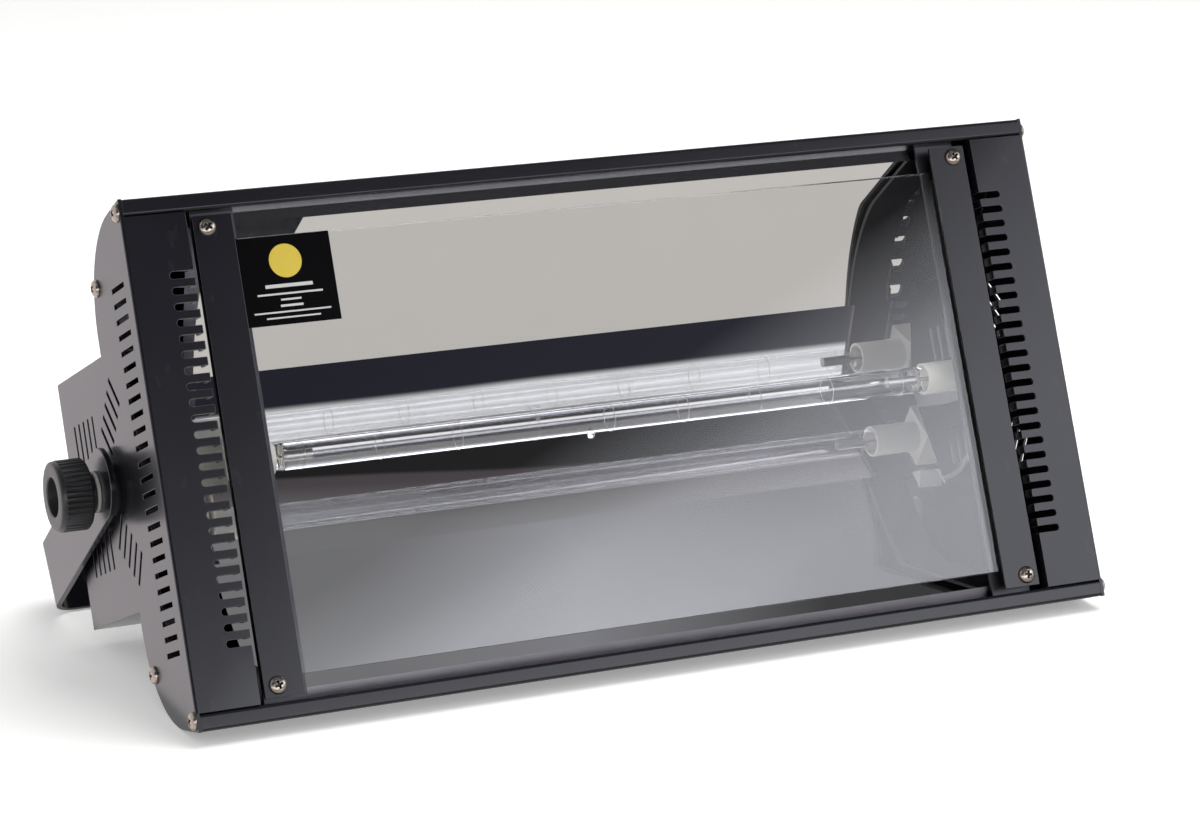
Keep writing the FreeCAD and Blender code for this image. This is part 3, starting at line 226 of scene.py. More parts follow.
def lathe(name, profile, steps):
    # Turns a line of (radius, height) points in millimetres about the z axis.
    mesh = bpy.data.meshes.new(name)
    mesh.from_pydata([(radius * mm, 0, height * mm) for radius, height in profile],
                     [(index, index + 1) for index in range(len(profile) - 1)], [])
    piece = bpy.data.objects.new(name, mesh)
    bpy.context.scene.collection.objects.link(piece)
    turn = piece.modifiers.new("turn", "SCREW")
    turn.steps = steps
    turn.render_steps = steps
    turn.use_merge_vertices = True
    turn.merge_threshold = 1e-6
    turn.use_smooth_shade = False
    applyModifiers(piece)
    facesOutward(piece)
    return piece


def facesOutward(piece):
    choose(piece)
    bpy.ops.object.mode_set(mode="EDIT")
    bpy.ops.mesh.select_all(action="SELECT")
    bpy.ops.mesh.remove_doubles(threshold=1e-6)
    bpy.ops.mesh.normals_make_consistent(inside=False)
    leaveEdit()


def carve(piece, tool):
    # Takes the tool's shape out of the piece.
    cutter = piece.modifiers.new("carve", "BOOLEAN")
    cutter.operation = "DIFFERENCE"
    cutter.solver = "EXACT"
    cutter.object = tool
    applyModifiers(piece)
    discard(tool)


def roundedLine(corners, steps):
    # A line through (across, up, radius) corners, each swept round by its radius.
    line = []
    for index, (across, up, radius) in enumerate(corners):
        spot = Vector((across, up))
        if not radius:
            line.append(spot)
            continue
        before = (Vector(corners[index - 1][:2]) - spot).normalized()
        after = (Vector(corners[index + 1][:2]) - spot).normalized()
        opening = before.angle(after) / 2
        centre = spot + (before + after).normalized() * (radius / math.sin(opening))
        first = spot + before * (radius / math.tan(opening)) - centre
        swing = first.angle_signed(spot + after * (radius / math.tan(opening)) - centre)
        for step in range(steps + 1):
            turn = -swing * step / steps
            line.append(centre + Matrix.Rotation(turn, 2) @ first)
    return line


def turnedTo(direction):
    # Turns a piece that was made standing on +z to face along a direction.
    return Vector(direction).to_track_quat("Z", "Y").to_matrix().to_4x4()


# shader node groups that several finishes share
def newGroup(name, inputs, outputs):
    tree = bpy.data.node_groups.new(name, "ShaderNodeTree")
    for label, value in inputs.items():
        socket = tree.interface.new_socket(label, in_out="INPUT", socket_type="NodeSocketFloat")
        socket.default_value = value
    for label in outputs:
        tree.interface.new_socket(label, in_out="OUTPUT", socket_type="NodeSocketFloat")
    start = tree.nodes.new("NodeGroupInput")
    end = tree.nodes.new("NodeGroupOutput")
    return tree, start.outputs, end.inputs


def addNode(tree, kind, values=None, **settings):
    node = tree.nodes.new("ShaderNode" + kind)
    for key, value in settings.items():
        setattr(node, key, value)
    for key, value in (values or {}).items():
        if isinstance(value, bpy.types.NodeSocket):
            tree.links.new(value, node.inputs[key])
        else:
            node.inputs[key].default_value = value
    return node


def rampNode(tree, factor, *stops):
    node = addNode(tree, "ValToRGB", {0: factor})
    for number, (spot, level) in enumerate(stops):
        elements = node.color_ramp.elements
        element = elements[number] if number < 2 else elements.new(spot)
        element.position = spot
        element.color = (*level, 1) if isinstance(level, tuple) else (level, level, level, 1)
    return node.outputs["Color"]


def makeGrainGroup():
    # The fine orange-peel of sprayed paint, as a height and as a slow change of gloss.
    inputs = {"Grain Scale": 900, "Patch Scale": 18}
    tree, start, end = newGroup("sprayGrain", inputs, ["Height", "Patches"])
    spot = addNode(tree, "TexCoord").outputs["Object"]
    fine = addNode(tree, "TexNoise", {"Vector": spot, "Scale": start["Grain Scale"], "Detail": 3})
    slow = addNode(tree, "TexNoise", {"Vector": spot, "Scale": start["Patch Scale"], "Detail": 5})
    tree.links.new(fine.outputs["Fac"], end["Height"])
    tree.links.new(slow.outputs["Fac"], end["Patches"])
    return tree


def makeWearGroup():
    # Rubbed spots and hairline scratches.
    inputs = {"Spot Scale": 60, "Amount": 0.35, "Scratch Scale": 240}
    tree, start, end = newGroup("wear", inputs, ["Rubs", "Scratches"])
    spot = addNode(tree, "TexCoord").outputs["Object"]
    rubs = addNode(tree, "TexNoise", {"Vector": spot, "Scale": start["Spot Scale"], "Detail": 8,
                                      "Roughness": 0.7})
    tree.links.new(rampNode(tree, rubs.outputs["Fac"], (0.62, 0), (0.74, 1)), end["Rubs"])
    lay = addNode(tree, "Mapping", {"Vector": spot, "Rotation": (0.3, 0.5, 0.7), "Scale": (1, 1, 0.035)})
    hair = addNode(tree, "TexNoise", {"Vector": lay.outputs[0], "Scale": start["Scratch Scale"], "Detail": 2})
    thin = rampNode(tree, hair.outputs["Fac"], (0.70, 0), (0.715, 1))
    some = addNode(tree, "Math", {0: thin, 1: start["Amount"]}, operation="MULTIPLY")
    tree.links.new(some.outputs[0], end["Scratches"])
    return tree


grainGroup = makeGrainGroup()
wearGroup = makeWearGroup()


def useGroup(tree, group, values):
    node = tree.nodes.new("ShaderNodeGroup")
    node.node_tree = group
    for key, value in values.items():
        node.inputs[key].default_value = value
    return node


def newFinish(name, values):
    # A material with a plain shader, whose even values stand on the shader's own sockets.
    finish = bpy.data.materials.new(name)
    finish.use_nodes = True
    tree = finish.node_tree
    shader = tree.nodes["Principled BSDF"]
    for key, value in values.items():
        colour = shader.inputs[key].type == "RGBA"
        shader.inputs[key].default_value = (*value, 1) if colour else value
    return finish, tree, shader


def blended(tree, factor, first, second):
    # Between two colours; the first may also be another node's colour.
    start = first if isinstance(first, bpy.types.NodeSocket) else (*first, 1)
    node = addNode(tree, "Mix", {"Factor": factor, "A": start, "B": (*second, 1)}, data_type="RGBA")
    return node.outputs["Result"]


def between(tree, value, low, high):
    # A value from 0 to 1, taken to the range from low to high.
    node = addNode(tree, "MapRange", {"Value": value, "To Min": low, "To Max": high})
    return node.outputs["Result"]


def bumped(tree, shader, height, depth):
    bump = addNode(tree, "Bump", {"Height": height, "Strength": 1.0, "Distance": depth})
    tree.links.new(bump.outputs["Normal"], shader.inputs["Normal"])


def paintFinish(name, colour, dusty, gloss, values):
    finish, tree, shader = newFinish(name, values)
    grain = useGroup(tree, grainGroup, {"Grain Scale": 1100, "Patch Scale": 14})
    wear = useGroup(tree, wearGroup, {"Spot Scale": 70, "Amount": 0.5, "Scratch Scale": 210})
    tone = blended(tree, between(tree, grain.outputs["Patches"], 0.1, 0.9), colour, dusty)
    marked = blended(tree, wear.outputs["Scratches"], tone, gloss["scratch"])
    tree.links.new(marked, shader.inputs["Base Color"])
    tree.links.new(between(tree, grain.outputs["Patches"], *gloss["roughness"]), shader.inputs["Roughness"])
    bumped(tree, shader, grain.outputs["Height"], gloss["grain"] * mm)
    return finish


blackPaint = paintFinish(
    "satin_black_paint", (0.006, 0.006, 0.0098), (0.008, 0.0078, 0.012),
    {"scratch": (0.016, 0.0155, 0.018), "roughness": (0.2, 0.27), "grain": 0.0008},
    {"Specular IOR Level": 0.38},
)
# Lighter paint on the rounded edges: a painted highlight along every edge, with rubbed wear and scratches on
# it.
edgeWearAndHighlight = paintFinish(
    "edge_wear_and_painted_highlight", (0.03, 0.029, 0.033), (0.06, 0.058, 0.062),
    {"scratch": (0.14, 0.135, 0.13), "roughness": (0.25, 0.4), "grain": 0.002},
    {"Specular IOR Level": 0.6},
)


def metalFinish(name, colour, dull, roughness, grainDepth=0.001):
    finish, tree, shader = newFinish(name, {"Metallic": 1.0})
    grain = useGroup(tree, grainGroup, {"Grain Scale": 2200, "Patch Scale": 90})
    wear = useGroup(tree, wearGroup, {"Spot Scale": 300, "Amount": 0.4, "Scratch Scale": 500})
    tone = blended(tree, wear.outputs["Rubs"], colour, dull)
    tree.links.new(tone, shader.inputs["Base Color"])
    tree.links.new(between(tree, grain.outputs["Patches"], *roughness), shader.inputs["Roughness"])
    bumped(tree, shader, grain.outputs["Height"], grainDepth * mm)
    return finish


def plasticFinish(name, colour, pale, roughness, values=None, grainDepth=0.01):
    finish, tree, shader = newFinish(name, values or {"Specular IOR Level": 0.5})
    grain = useGroup(tree, grainGroup, {"Grain Scale": 2600, "Patch Scale": 40})
    tone = blended(tree, grain.outputs["Patches"], colour, pale)
    tree.links.new(tone, shader.inputs["Base Color"])
    tree.links.new(between(tree, grain.outputs["Patches"], *roughness), shader.inputs["Roughness"])
    bumped(tree, shader, grain.outputs["Height"], grainDepth * mm)
    return finish


def mirrorFinish():
    # Rolled and polished aluminium: nearly a mirror, with a slow wave and a faint haze.
    finish, tree, shader = newFinish("polished_aluminium", {"Metallic": 1.0})
    spot = addNode(tree, "TexCoord").outputs["Object"]
    haze = addNode(tree, "TexNoise", {"Vector": spot, "Scale": 30, "Detail": 6})
    tone = blended(tree, haze.outputs["Fac"], (0.80, 0.80, 0.81), (0.86, 0.86, 0.87))
    tree.links.new(tone, shader.inputs["Base Color"])
    tree.links.new(between(tree, haze.outputs["Fac"], 0.004, 0.009), shader.inputs["Roughness"])
    stretched = addNode(tree, "Mapping", {"Vector": spot, "Scale": (0.35, 1, 1)})
    wave = addNode(tree, "TexNoise", {"Vector": stretched.outputs[0], "Scale": 16, "Detail": 1})
    bumped(tree, shader, wave.outputs["Fac"], 0.05 * mm)
    return finish


def cleared(finish, ghost, tint=(1, 1, 1), shadowless=False):
    # Lets a share of the rays pass straight through; ghost is how faint it looks in a mirror.
    tree = finish.node_tree
    rays = addNode(tree, "LightPath")
    faint = addNode(tree, "Math", {0: rays.outputs["Is Reflection Ray"], 1: ghost}, operation="MULTIPLY")
    share = faint.outputs[0]
    if shadowless:
        both = addNode(tree, "Math", {0: rays.outputs["Is Shadow Ray"], 1: share}, operation="ADD")
        share = both.outputs[0]
    mix = addNode(tree, "MixShader", {0: share})
    clear = addNode(tree, "BsdfTransparent", {"Color": (*tint, 1)})
    tree.links.new(tree.nodes["Principled BSDF"].outputs[0], mix.inputs[1])
    tree.links.new(clear.outputs[0], mix.inputs[2])
    tree.links.new(mix.outputs[0], tree.nodes["Material Output"].inputs["Surface"])
    return finish


def glassFinish(name, tint, ior, ghost):
    # Clear glass that casts no dark shadow.
    values = {"Base Color": tint, "Roughness": 0.0, "IOR": ior, "Transmission Weight": 1.0}
    return cleared(newFinish(name, values)[0], ghost, tint, True)


mirrorAluminium = mirrorFinish()
# The reflector's foot is the same aluminium sheet, rougher and painted much darker: painted shade.
shadedFootAluminium = metalFinish("foot_aluminium_painted_dark", (0.3, 0.285, 0.3), (0.27, 0.255, 0.27), (0.3, 0.4), 0.0005)
windowGlass = glassFinish("float_glass", (0.985, 0.987, 0.99), 1.5, 1.0)
quartzGlass = glassFinish("fused_quartz", (0.98, 0.98, 0.985), 1.46, 0.85)
screwNickel = metalFinish("bronzed_nickel", (0.36, 0.31, 0.27), (0.2, 0.17, 0.145), (0.2, 0.34))
# Zinc painted dark: painted shade for the glass brackets behind the retainers.
shadedZinc = metalFinish("zinc_painted_dark", (0.07, 0.07, 0.075), (0.04, 0.04, 0.043), (0.35, 0.5))
recessShade = metalFinish("recess_shade", (0.05, 0.045, 0.04), (0.03, 0.027, 0.025), (0.4, 0.5))
zincSteel = metalFinish("zinc_steel", (0.62, 0.63, 0.64), (0.42, 0.43, 0.44), (0.3, 0.45))
blackScrew = metalFinish("black_oxide", (0.06, 0.06, 0.065), (0.16, 0.15, 0.14), (0.35, 0.5))
tungsten = metalFinish("tungsten", (0.38, 0.37, 0.36), (0.22, 0.21, 0.2), (0.3, 0.5))
nickelWire = metalFinish("nickel_wire", (0.6, 0.58, 0.54), (0.4, 0.38, 0.35), (0.2, 0.35))
triggerNickel = metalFinish("trigger_nickel", (0.6, 0.58, 0.54), (0.4, 0.38, 0.35), (0.2, 0.35))
cleared(triggerNickel, 0.8)
sinkAluminium = metalFinish("extruded_aluminium", (0.6, 0.61, 0.62), (0.5, 0.5, 0.51), (0.3, 0.45))
brass = metalFinish("turned_brass", (0.66, 0.5, 0.24), (0.5, 0.36, 0.17), (0.25, 0.4))
springSteel = metalFinish("latch_steel", (0.5, 0.5, 0.51), (0.36, 0.36, 0.37), (0.25, 0.4))
ceramic = plasticFinish(
    "steatite", (0.72, 0.7, 0.62), (0.78, 0.76, 0.69), (0.3, 0.5),
    {"Specular IOR Level": 0.5, "Subsurface Weight": 0.08, "Subsurface Radius": (0.002, 0.002, 0.0015)},
)
foam = plasticFinish("black_foam", (0.02, 0.02, 0.021), (0.035, 0.035, 0.036), (0.85, 0.95),
                     {"Specular IOR Level": 0.1}, 0.03)
knobPlastic = plasticFinish("moulded_knob_plastic", (0.018, 0.018, 0.02), (0.026, 0.026, 0.028),
                            (0.34, 0.46))
blackPlastic = plasticFinish("moulded_black_plastic", (0.016, 0.016, 0.017), (0.024, 0.024, 0.025),
                             (0.38, 0.5))
rockerPlastic = plasticFinish("rocker_plastic", (0.02, 0.02, 0.021), (0.028, 0.028, 0.03), (0.25, 0.35))
nylon = plasticFinish("white_nylon", (0.62, 0.61, 0.58), (0.7, 0.69, 0.66), (0.4, 0.55))
silicone = plasticFinish("silicone_sleeve", (0.58, 0.55, 0.48), (0.66, 0.63, 0.55), (0.5, 0.65))
labelYellow = plasticFinish("label_yellow", (0.62, 0.46, 0.03), (0.68, 0.5, 0.035), (0.35, 0.45))
labelPale = plasticFinish("label_pale", (0.55, 0.55, 0.54), (0.6, 0.6, 0.59), (0.35, 0.45))
labelFilm = plasticFinish("label_film", (0.003, 0.003, 0.0035), (0.004, 0.004, 0.0045), (0.1, 0.14),
                          {"Specular IOR Level": 0.25}, 0.0005)
sleevePlastic = plasticFinish("can_sleeve", (0.03, 0.05, 0.12), (0.04, 0.065, 0.15), (0.25, 0.35))
epoxy = plasticFinish("black_epoxy", (0.02, 0.02, 0.02), (0.03, 0.03, 0.03), (0.5, 0.65))
resin = plasticFinish("potting_resin", (0.05, 0.045, 0.04), (0.07, 0.065, 0.06), (0.4, 0.55))
boardGreen = plasticFinish("green_laminate", (0.02, 0.09, 0.035), (0.03, 0.12, 0.05), (0.35, 0.5))
copper = metalFinish("enamelled_copper", (0.55, 0.2, 0.09), (0.4, 0.14, 0.06), (0.25, 0.4))

slotFinish = {
    "black_paint": blackPaint, "window_glass": windowGlass, "label_film": labelFilm,
    "mirror_aluminium": mirrorAluminium, "screw_steel": screwNickel, "black_screw": blackScrew,
    "zinc_steel": zincSteel, "gasket_foam": foam, "quartz": quartzGlass, "tungsten": tungsten,
    "steatite": ceramic, "trigger_nickel": triggerNickel, "silicone_lead": silicone,
    "circuit_board": boardGreen, "brass_post": brass, "capacitor_sleeve": sleevePlastic,
    "sink_aluminium": sinkAluminium, "package_epoxy": epoxy, "choke_copper": copper,
    "potting_resin": resin, "black_plastic": blackPlastic, "rocker_plastic": rockerPlastic,
    "knob_plastic": knobPlastic, "latch_steel": springSteel, "nylon_white": nylon,
}
nodeSlot = {part["node"]: part["material_slot"] for part in frame["record"]["subparts"]}
nodeBody = {}
for name, members in frame["record"]["behaviour"]["bodies"].items():
    nodeBody.update({node: name for node in members})
for name, node in nodes.items():
    finish = slotFinish[nodeSlot[name]]
    node.data.materials.clear()
    node.data.materials.append(finish)
# The glass brackets behind the retainers take the dark zinc instead of their slot's light zinc: painted
# shade.
for name in ("left_glass_bracket", "right_glass_bracket"):
    nodes[name].data.materials[0] = shadedZinc
print("finishes given to the frame's nodes")

# sheet metal, softened along its cut edges
sheetParts = {
    "left_end_plate": 0.22, "right_end_plate": 0.22, "top_cover": 0.22, "bottom_cover": 0.22,
    "left_glass_retainer": 0.2, "right_glass_retainer": 0.2, "tilting_bracket": 0.35,
    "rear_panel": 0.2,
}


def atFoldEnd(spot):
    # Where an end plate's front strip leaves its fold, beside a cover's lip: it stays sharp there.
    size = {"low": 7.8, "high": 214.2, "reach": 0.7, "across": 212.8, "deep": 1.9}
    beside = min(abs(spot.z - size["low"] * mm), abs(spot.z - size["high"] * mm))
    inStrip = abs(spot.x) > size["across"] * mm and spot.y < size["deep"] * mm
    return inStrip and beside < size["reach"] * mm


for name, width in sheetParts.items():
    piece = ownCopy(name, name + "_sheet")
    # Slot 1 takes the rounded edges: the lighter edge paint paints a highlight on them, with some wear.
    give(piece, blackPaint, edgeWearAndHighlight)
    softenEdges(piece, width * mm, 30, 1, atFoldEnd if "end_plate" in name else None)
    settle(piece, nodeBody[name], name)
print("sheet metal done")


# moulded and turned parts, softened the same way
plainParts = {
    "power_inlet": 0.3, "fuse_holder": 0.25, "switch_frame": 0.3, "switch_rocker": 0.3,
    "rate_knob": 0.25, "intensity_knob": 0.25, "signal_input": 0.3, "signal_output": 0.3,
    "output_latch": 0.25, "left_knob_washer": 0.15, "right_knob_washer": 0.15,
    "left_knob_stud": 0.2, "right_knob_stud": 0.2,
    "friction_washers": 0.15, "front_glass": 0.35,
}
for name, width in plainParts.items():
    piece = ownCopy(name, name + "_shape")
    give(piece, slotFinish[nodeSlot[name]])
    softenEdges(piece, width * mm)
    settle(piece, nodeBody[name], name)


# the bare contacts in two sockets, each at (across, rise), with half their width and height,
# and how far below the socket's mouth they begin and end
contactPins = {
    "power_inlet": {"spots": [(-165, 110.5), (-158, 113), (-151, 110.5)], "half": (1.1, 2.1),
                    "sunk": (6.9, 17.6)},
    "signal_input": {"spots": [(110, 106.8), (106.36, 113.1), (113.64, 113.1)], "half": (1.3, 1.3),
                     "sunk": (6.9, 15.9)},
}


def bareContacts(name, pins):
    socket = bpy.data.objects[name + "_shape"]
    socket.data.materials.append(nickelWire)
    mouth = uprightCorners(nodes[name])[1].y / mm
    wide, tall = pins["half"]
    near, far = pins["sunk"]
    for face in socket.data.polygons:
        spot = (uprightPlace @ face.center) / mm
        beside = [abs(spot.x - across) < wide and abs(spot.z - rise) < tall for across, rise in pins["spots"]]
        if any(beside) and near < mouth - spot.y < far:
            face.material_index = 1


def paleMark(dial):
    # The raised pointer on a dial's face, filled with pale paint.
    dialFace = 147.1
    dial.data.materials.append(labelPale)
    for face in dial.data.polygons:
        if (uprightPlace @ face.center).y > dialFace * mm:
            face.material_index = 1


for name, pins in contactPins.items():
    bareContacts(name, pins)
for name in ("rate_knob_shape", "intensity_knob_shape"):
    paleMark(bpy.data.objects[name])
print("moulded parts done")


# the reflector: flat behind the lamp, swept round above and below it
def reflector():
    size = {"left": -183, "right": 169, "sheet": 0.9, "fold": 63.2, "shadedFootTop": 19}
    half = [(14.2, 7.5, 0), (13, 12.5, 0), (40, 48, 202), (49.84, 71, 0)]
    upper = [(depth, 2 * midRise - rise, sweep) for depth, rise, sweep in reversed(half)]
    line = roundedLine(half + [(size["fold"], midRise, 0)] + upper, 20)
    mesh = bpy.data.meshes.new("reflector_sheet")
    mesh.from_pydata([(size["left"] * mm, depth * mm, rise * mm) for depth, rise in line],
                     [(index, index + 1) for index in range(len(line) - 1)], [])
    piece = bpy.data.objects.new("reflector_sheet", mesh)
    bpy.context.scene.collection.objects.link(piece)
    choose(piece)
    bpy.ops.object.mode_set(mode="EDIT")
    bpy.ops.mesh.select_all(action="SELECT")
    length = (size["right"] - size["left"]) * mm
    bpy.ops.mesh.extrude_region_move(TRANSFORM_OT_translate={"value": (length, 0, 0)})
    leaveEdit()
    facing = piece.data.polygons[len(piece.data.polygons) // 2].normal.y
    wall = piece.modifiers.new("wall", "SOLIDIFY")
    wall.thickness = size["sheet"] * mm
    wall.offset = -1 if facing < 0 else 1
    wall.use_even_offset = True
    applyModifiers(piece)
    facesOutward(piece)
    smoothBelow(piece, 4)
    give(piece, mirrorAluminium, shadedFootAluminium)
    # Faces below the foot's top take the darker aluminium, painted shade on the foot strip.
    for face in piece.data.polygons:
        face.material_index = 1 if face.center.z < size["shadedFootTop"] * mm else 0
    place(piece, leanPlace)
    settle(piece, "housing", "reflector")


reflector()
print("reflector done")


# pan-head screws with a cross recess, modelled once and copied
screwSize = {
    "rise": 2.2, "shank": 1.6, "cross": 4.9, "slot": 1.2, "deep": 1.35, "bar": 2, "crossTurn": 18,
    "taper": (0.45, 0.6, 1), "recess": 2.6, "brim": 0.2, "floor": 1.2, "turns": (0, 37, 61, 14, 82, 25),
}


def panScrew():
    size = screwSize
    profile = [(0, size["rise"]), (1.2, 2.17), (2.3, 1.98), (3.1, 1.62), (3.62, 1.1), (3.85, 0.5),
               (3.9, 0.25), (3.9, 0.0), (size["shank"], 0.0), (size["shank"], -0.2), (0, -0.2)]
    screw = lathe("pan_screw", profile, 40)
    for turn in (0, 90):
        bpy.ops.mesh.primitive_cube_add(size=1)
        bar = bpy.context.object
        bar.data.transform(Matrix.Diagonal((size["cross"] * mm, size["slot"] * mm, size["bar"] * mm, 1)))
        pickFaces(bar, lambda face: face.normal.z < -0.5)
        bpy.ops.transform.resize(value=size["taper"])
        leaveEdit()
        bar.data.transform(Matrix.Translation((0, 0, (size["rise"] - size["deep"] + size["bar"] / 2) * mm)))
        bar.data.transform(Matrix.Rotation(math.radians(turn + size["crossTurn"]), 4, "Z"))
        carve(screw, bar)
    facesOutward(screw)
    softenEdges(screw, 0.06 * mm, 40)
    give(screw, screwNickel, recessShade)
    for face in screw.data.polygons:
        inside = face.center.xy.length < size["recess"] * mm and face.center.z > size["brim"] * mm
        sunk = abs(face.normal.z) < 0.6 or face.center.z < size["floor"] * mm
        face.material_index = 1 if inside and sunk else 0
    return screw


def screwRow(name, nodeName, finish, towards):
    # Each copied screw stands on the CAD screw's head, turned its own way.
    pattern = panScrew()
    turns = screwSize["turns"]
    made = []
    for number, (low, high) in enumerate(solidBoxes(nodeName)):
        direction = Vector(towards(low, high))
        axis = max(range(3), key=lambda index: abs(direction[index]))
        seat = (low + high) / 2
        rise = screwSize["rise"] * mm
        seat[axis] = high[axis] - rise if direction[axis] > 0 else low[axis] + rise
        twist = Matrix.Rotation(math.radians(turns[number % len(turns)]), 4, "Z")
        made.append(copyOf(pattern, leanPlace @ Matrix.Translation(seat) @ turnedTo(direction) @ twist))
    discard(pattern)
    row = joined(made, name)
    row.data.materials[0] = finish
    settle(row, "housing", nodeName)


screwRow("retainer_screw_row", "retainer_screws", screwNickel, lambda low, high: (0, -1, 0))
screwRow("end_screw_row", "end_plate_screws", screwNickel, lambda low, high: (1 if low.x > 0 else -1, 0, 0))
screwRow("cover_screw_row", "cover_screws", blackScrew,
         lambda low, high: (0, 0, 1 if low.z > midRise * mm else -1))
print("screws done")


# the flash tube: clear quartz, drawn down and sealed on its pins at both ends
lampDepth = 30
lampAxis = Matrix.Translation((0, lampDepth * mm, midRise * mm))


def flashTube():
    outer = [(0, -163), (3.2, -163), (3.7, -162.4), (3.9, -160.5), (4.3, -158.5), (5.1, -156.4),
             (5.75, -154.6), (6, -152.6)]
    bore = [(0, -154), (2.0, -153.9), (3.9, -153.4), (5.1, -152.4), (5.4, -151.2)]
    seal = [(3.0, 5.0), (2.2, 6.0), (1.7, 6.9), (1.5, 7.6), (1.1, 8.4), (0.5, 8.9), (0, 9.0)]
    size = {"sealAcross": -9, "sealTurn": 200}
    glass = lathe("tube_outside", outer + [(radius, -height) for radius, height in reversed(outer)], 64)
    inside = lathe("tube_inside", bore + [(radius, -height) for radius, height in reversed(bore)], 64)
    choose(inside)
    bpy.ops.object.mode_set(mode="EDIT")
    bpy.ops.mesh.select_all(action="SELECT")
    bpy.ops.mesh.flip_normals()
    leaveEdit()
    nipple = lathe("tip_off", seal, 24)
    turn = Matrix.Rotation(math.radians(size["sealTurn"]), 4, "X")
    nipple.data.transform(Matrix.Translation((size["sealAcross"] * mm, 0, 0)) @ turn)
    for part in (glass, inside):
        part.data.transform(standToSide)
    tube = joined([nipple, inside, glass], "flash_tube_glass")
    smoothBelow(tube, 60)
    give(tube, quartzGlass)
    place(tube, leanPlace @ lampAxis)
    settle(tube, "housing", "flash_tube")


def triggerWire():
    # A thin wire laid along the tube and turned once round it at each step.
    size = {"step": 36, "count": 4, "ring": 6.25, "wire": 0.17}
    rings = []
    for number in range(-size["count"], size["count"] + 1):
        bpy.ops.mesh.primitive_torus_add(major_radius=size["ring"] * mm, minor_radius=size["wire"] * mm,
                                         major_segments=48, minor_segments=8)
        ring = bpy.context.object
        ring.data.transform(Matrix.Translation((number * size["step"] * mm, 0, 0)) @ standToSide)
        rings.append(ring)
    length = (2 * size["count"] * size["step"] + 2) * mm
    bpy.ops.mesh.primitive_cylinder_add(vertices=10, radius=size["wire"] * mm, depth=length)
    run = bpy.context.object
    run.data.transform(Matrix.Translation((0, 0, size["ring"] * mm)) @ standToSide)
    wire = joined(rings + [run], "trigger_wire_turns")
    smoothBelow(wire, 60)
    give(wire, triggerNickel)
    place(wire, leanPlace @ lampAxis)
    settle(wire, "housing", "trigger_wire")


flashTube()
triggerWire()
print("flash tube done")


# the clamp knobs: ribbed grips with a deep recess, on a plain neck
def clampKnob(side, word):
    size = {"grooves": 40, "groove": 0.8, "crest": 0.7, "ribbed": 15.5, "skin": 0.05, "start": 221.7,
            "depth": 80}
    profile = [(4.05, 0), (7.95, 0), (8.2, 0.25), (8.2, 3), (14.3, 3), (15.5, 4.1), (15.5, 14.9),
               (15.2, 15.1), (15.2, 16.5), (14.9, 17.1), (14.2, 17.5), (9.2, 17.5), (8.7, 17.3), (8.5, 16.8),
               (8.4, 7), (4.05, 7), (4.05, 0)]
    grip = lathe(word + "_knob_grip", profile, size["grooves"] * 6)
    for vertex in grip.data.vertices:
        spot = Vector((vertex.co.x, vertex.co.y))
        if spot.length > (size["ribbed"] - size["skin"]) * mm:
            wave = max(0, math.cos(math.atan2(spot.y, spot.x) * size["grooves"]))
            spot = spot.normalized() * (size["ribbed"] - size["groove"] * wave ** size["crest"]) * mm
            vertex.co = (spot.x, spot.y, vertex.co.z)
    softenEdges(grip, 0)
    give(grip, knobPlastic)
    turn = Matrix.Rotation(math.radians(90 * side), 4, "Y")
    spot = Matrix.Translation((side * size["start"] * mm, size["depth"] * mm, midRise * mm))
    place(grip, leanPlace @ spot @ turn)
    settle(grip, nodeBody[word + "_knob"], word + "_knob")


clampKnob(-1, "left")
clampKnob(1, "right")
print("clamp knobs done")


# the bare label behind the glass: a plain disc over plain rules, no words
def windowLabel():
    size = {"disc": 7.2, "discDrop": 11, "ink": 0.05}
    rules = [(21.5, 21, 1.5), (24.9, 29, 0.8), (27.4, 9, 0.8), (30, 10, 1.0), (32.6, 34, 0.7), (35, 24, 0.7)]
    low, high = uprightCorners(nodes["window_label"])
    film = block("label_film", low, high)
    give(film, labelFilm)
    middle = (low.x + high.x) / 2
    bpy.ops.mesh.primitive_cylinder_add(vertices=64, radius=size["disc"] * mm, depth=size["ink"] * mm)
    disc = bpy.context.object
    disc.data.transform(Matrix.Translation((middle, low.y, high.z - size["discDrop"] * mm)) @ standToFront)
    give(disc, labelYellow)
    marks = [disc]
    for drop, width, tall in rules:
        centre = Vector((middle, low.y, high.z - drop * mm))
        half = Vector((width / 2 * mm, size["ink"] / 2 * mm, tall / 2 * mm))
        rule = block("rule", centre - half, centre + half)
        give(rule, labelPale)
        marks.append(rule)
    label = joined(marks + [film], "window_label_print")
    place(label, leanPlace)
    settle(label, "housing", "window_label")


windowLabel()
print("label done")


# the studio: a pale floor, a dark wall with a bright strip for the mirror to show, and soft lamps
def seenDirectly(tree):
    # One for the camera's rays, mirrors and glass, and nothing for the light that falls on the lamp.
    rays = addNode(tree, "LightPath").outputs
    seen = addNode(tree, "Math", {0: rays["Is Camera Ray"], 1: rays["Is Glossy Ray"]}, operation="ADD")
    whole = addNode(tree, "Math", {0: seen.outputs[0], 1: rays["Is Transmission Ray"]}, operation="ADD")
    return whole.outputs[0]


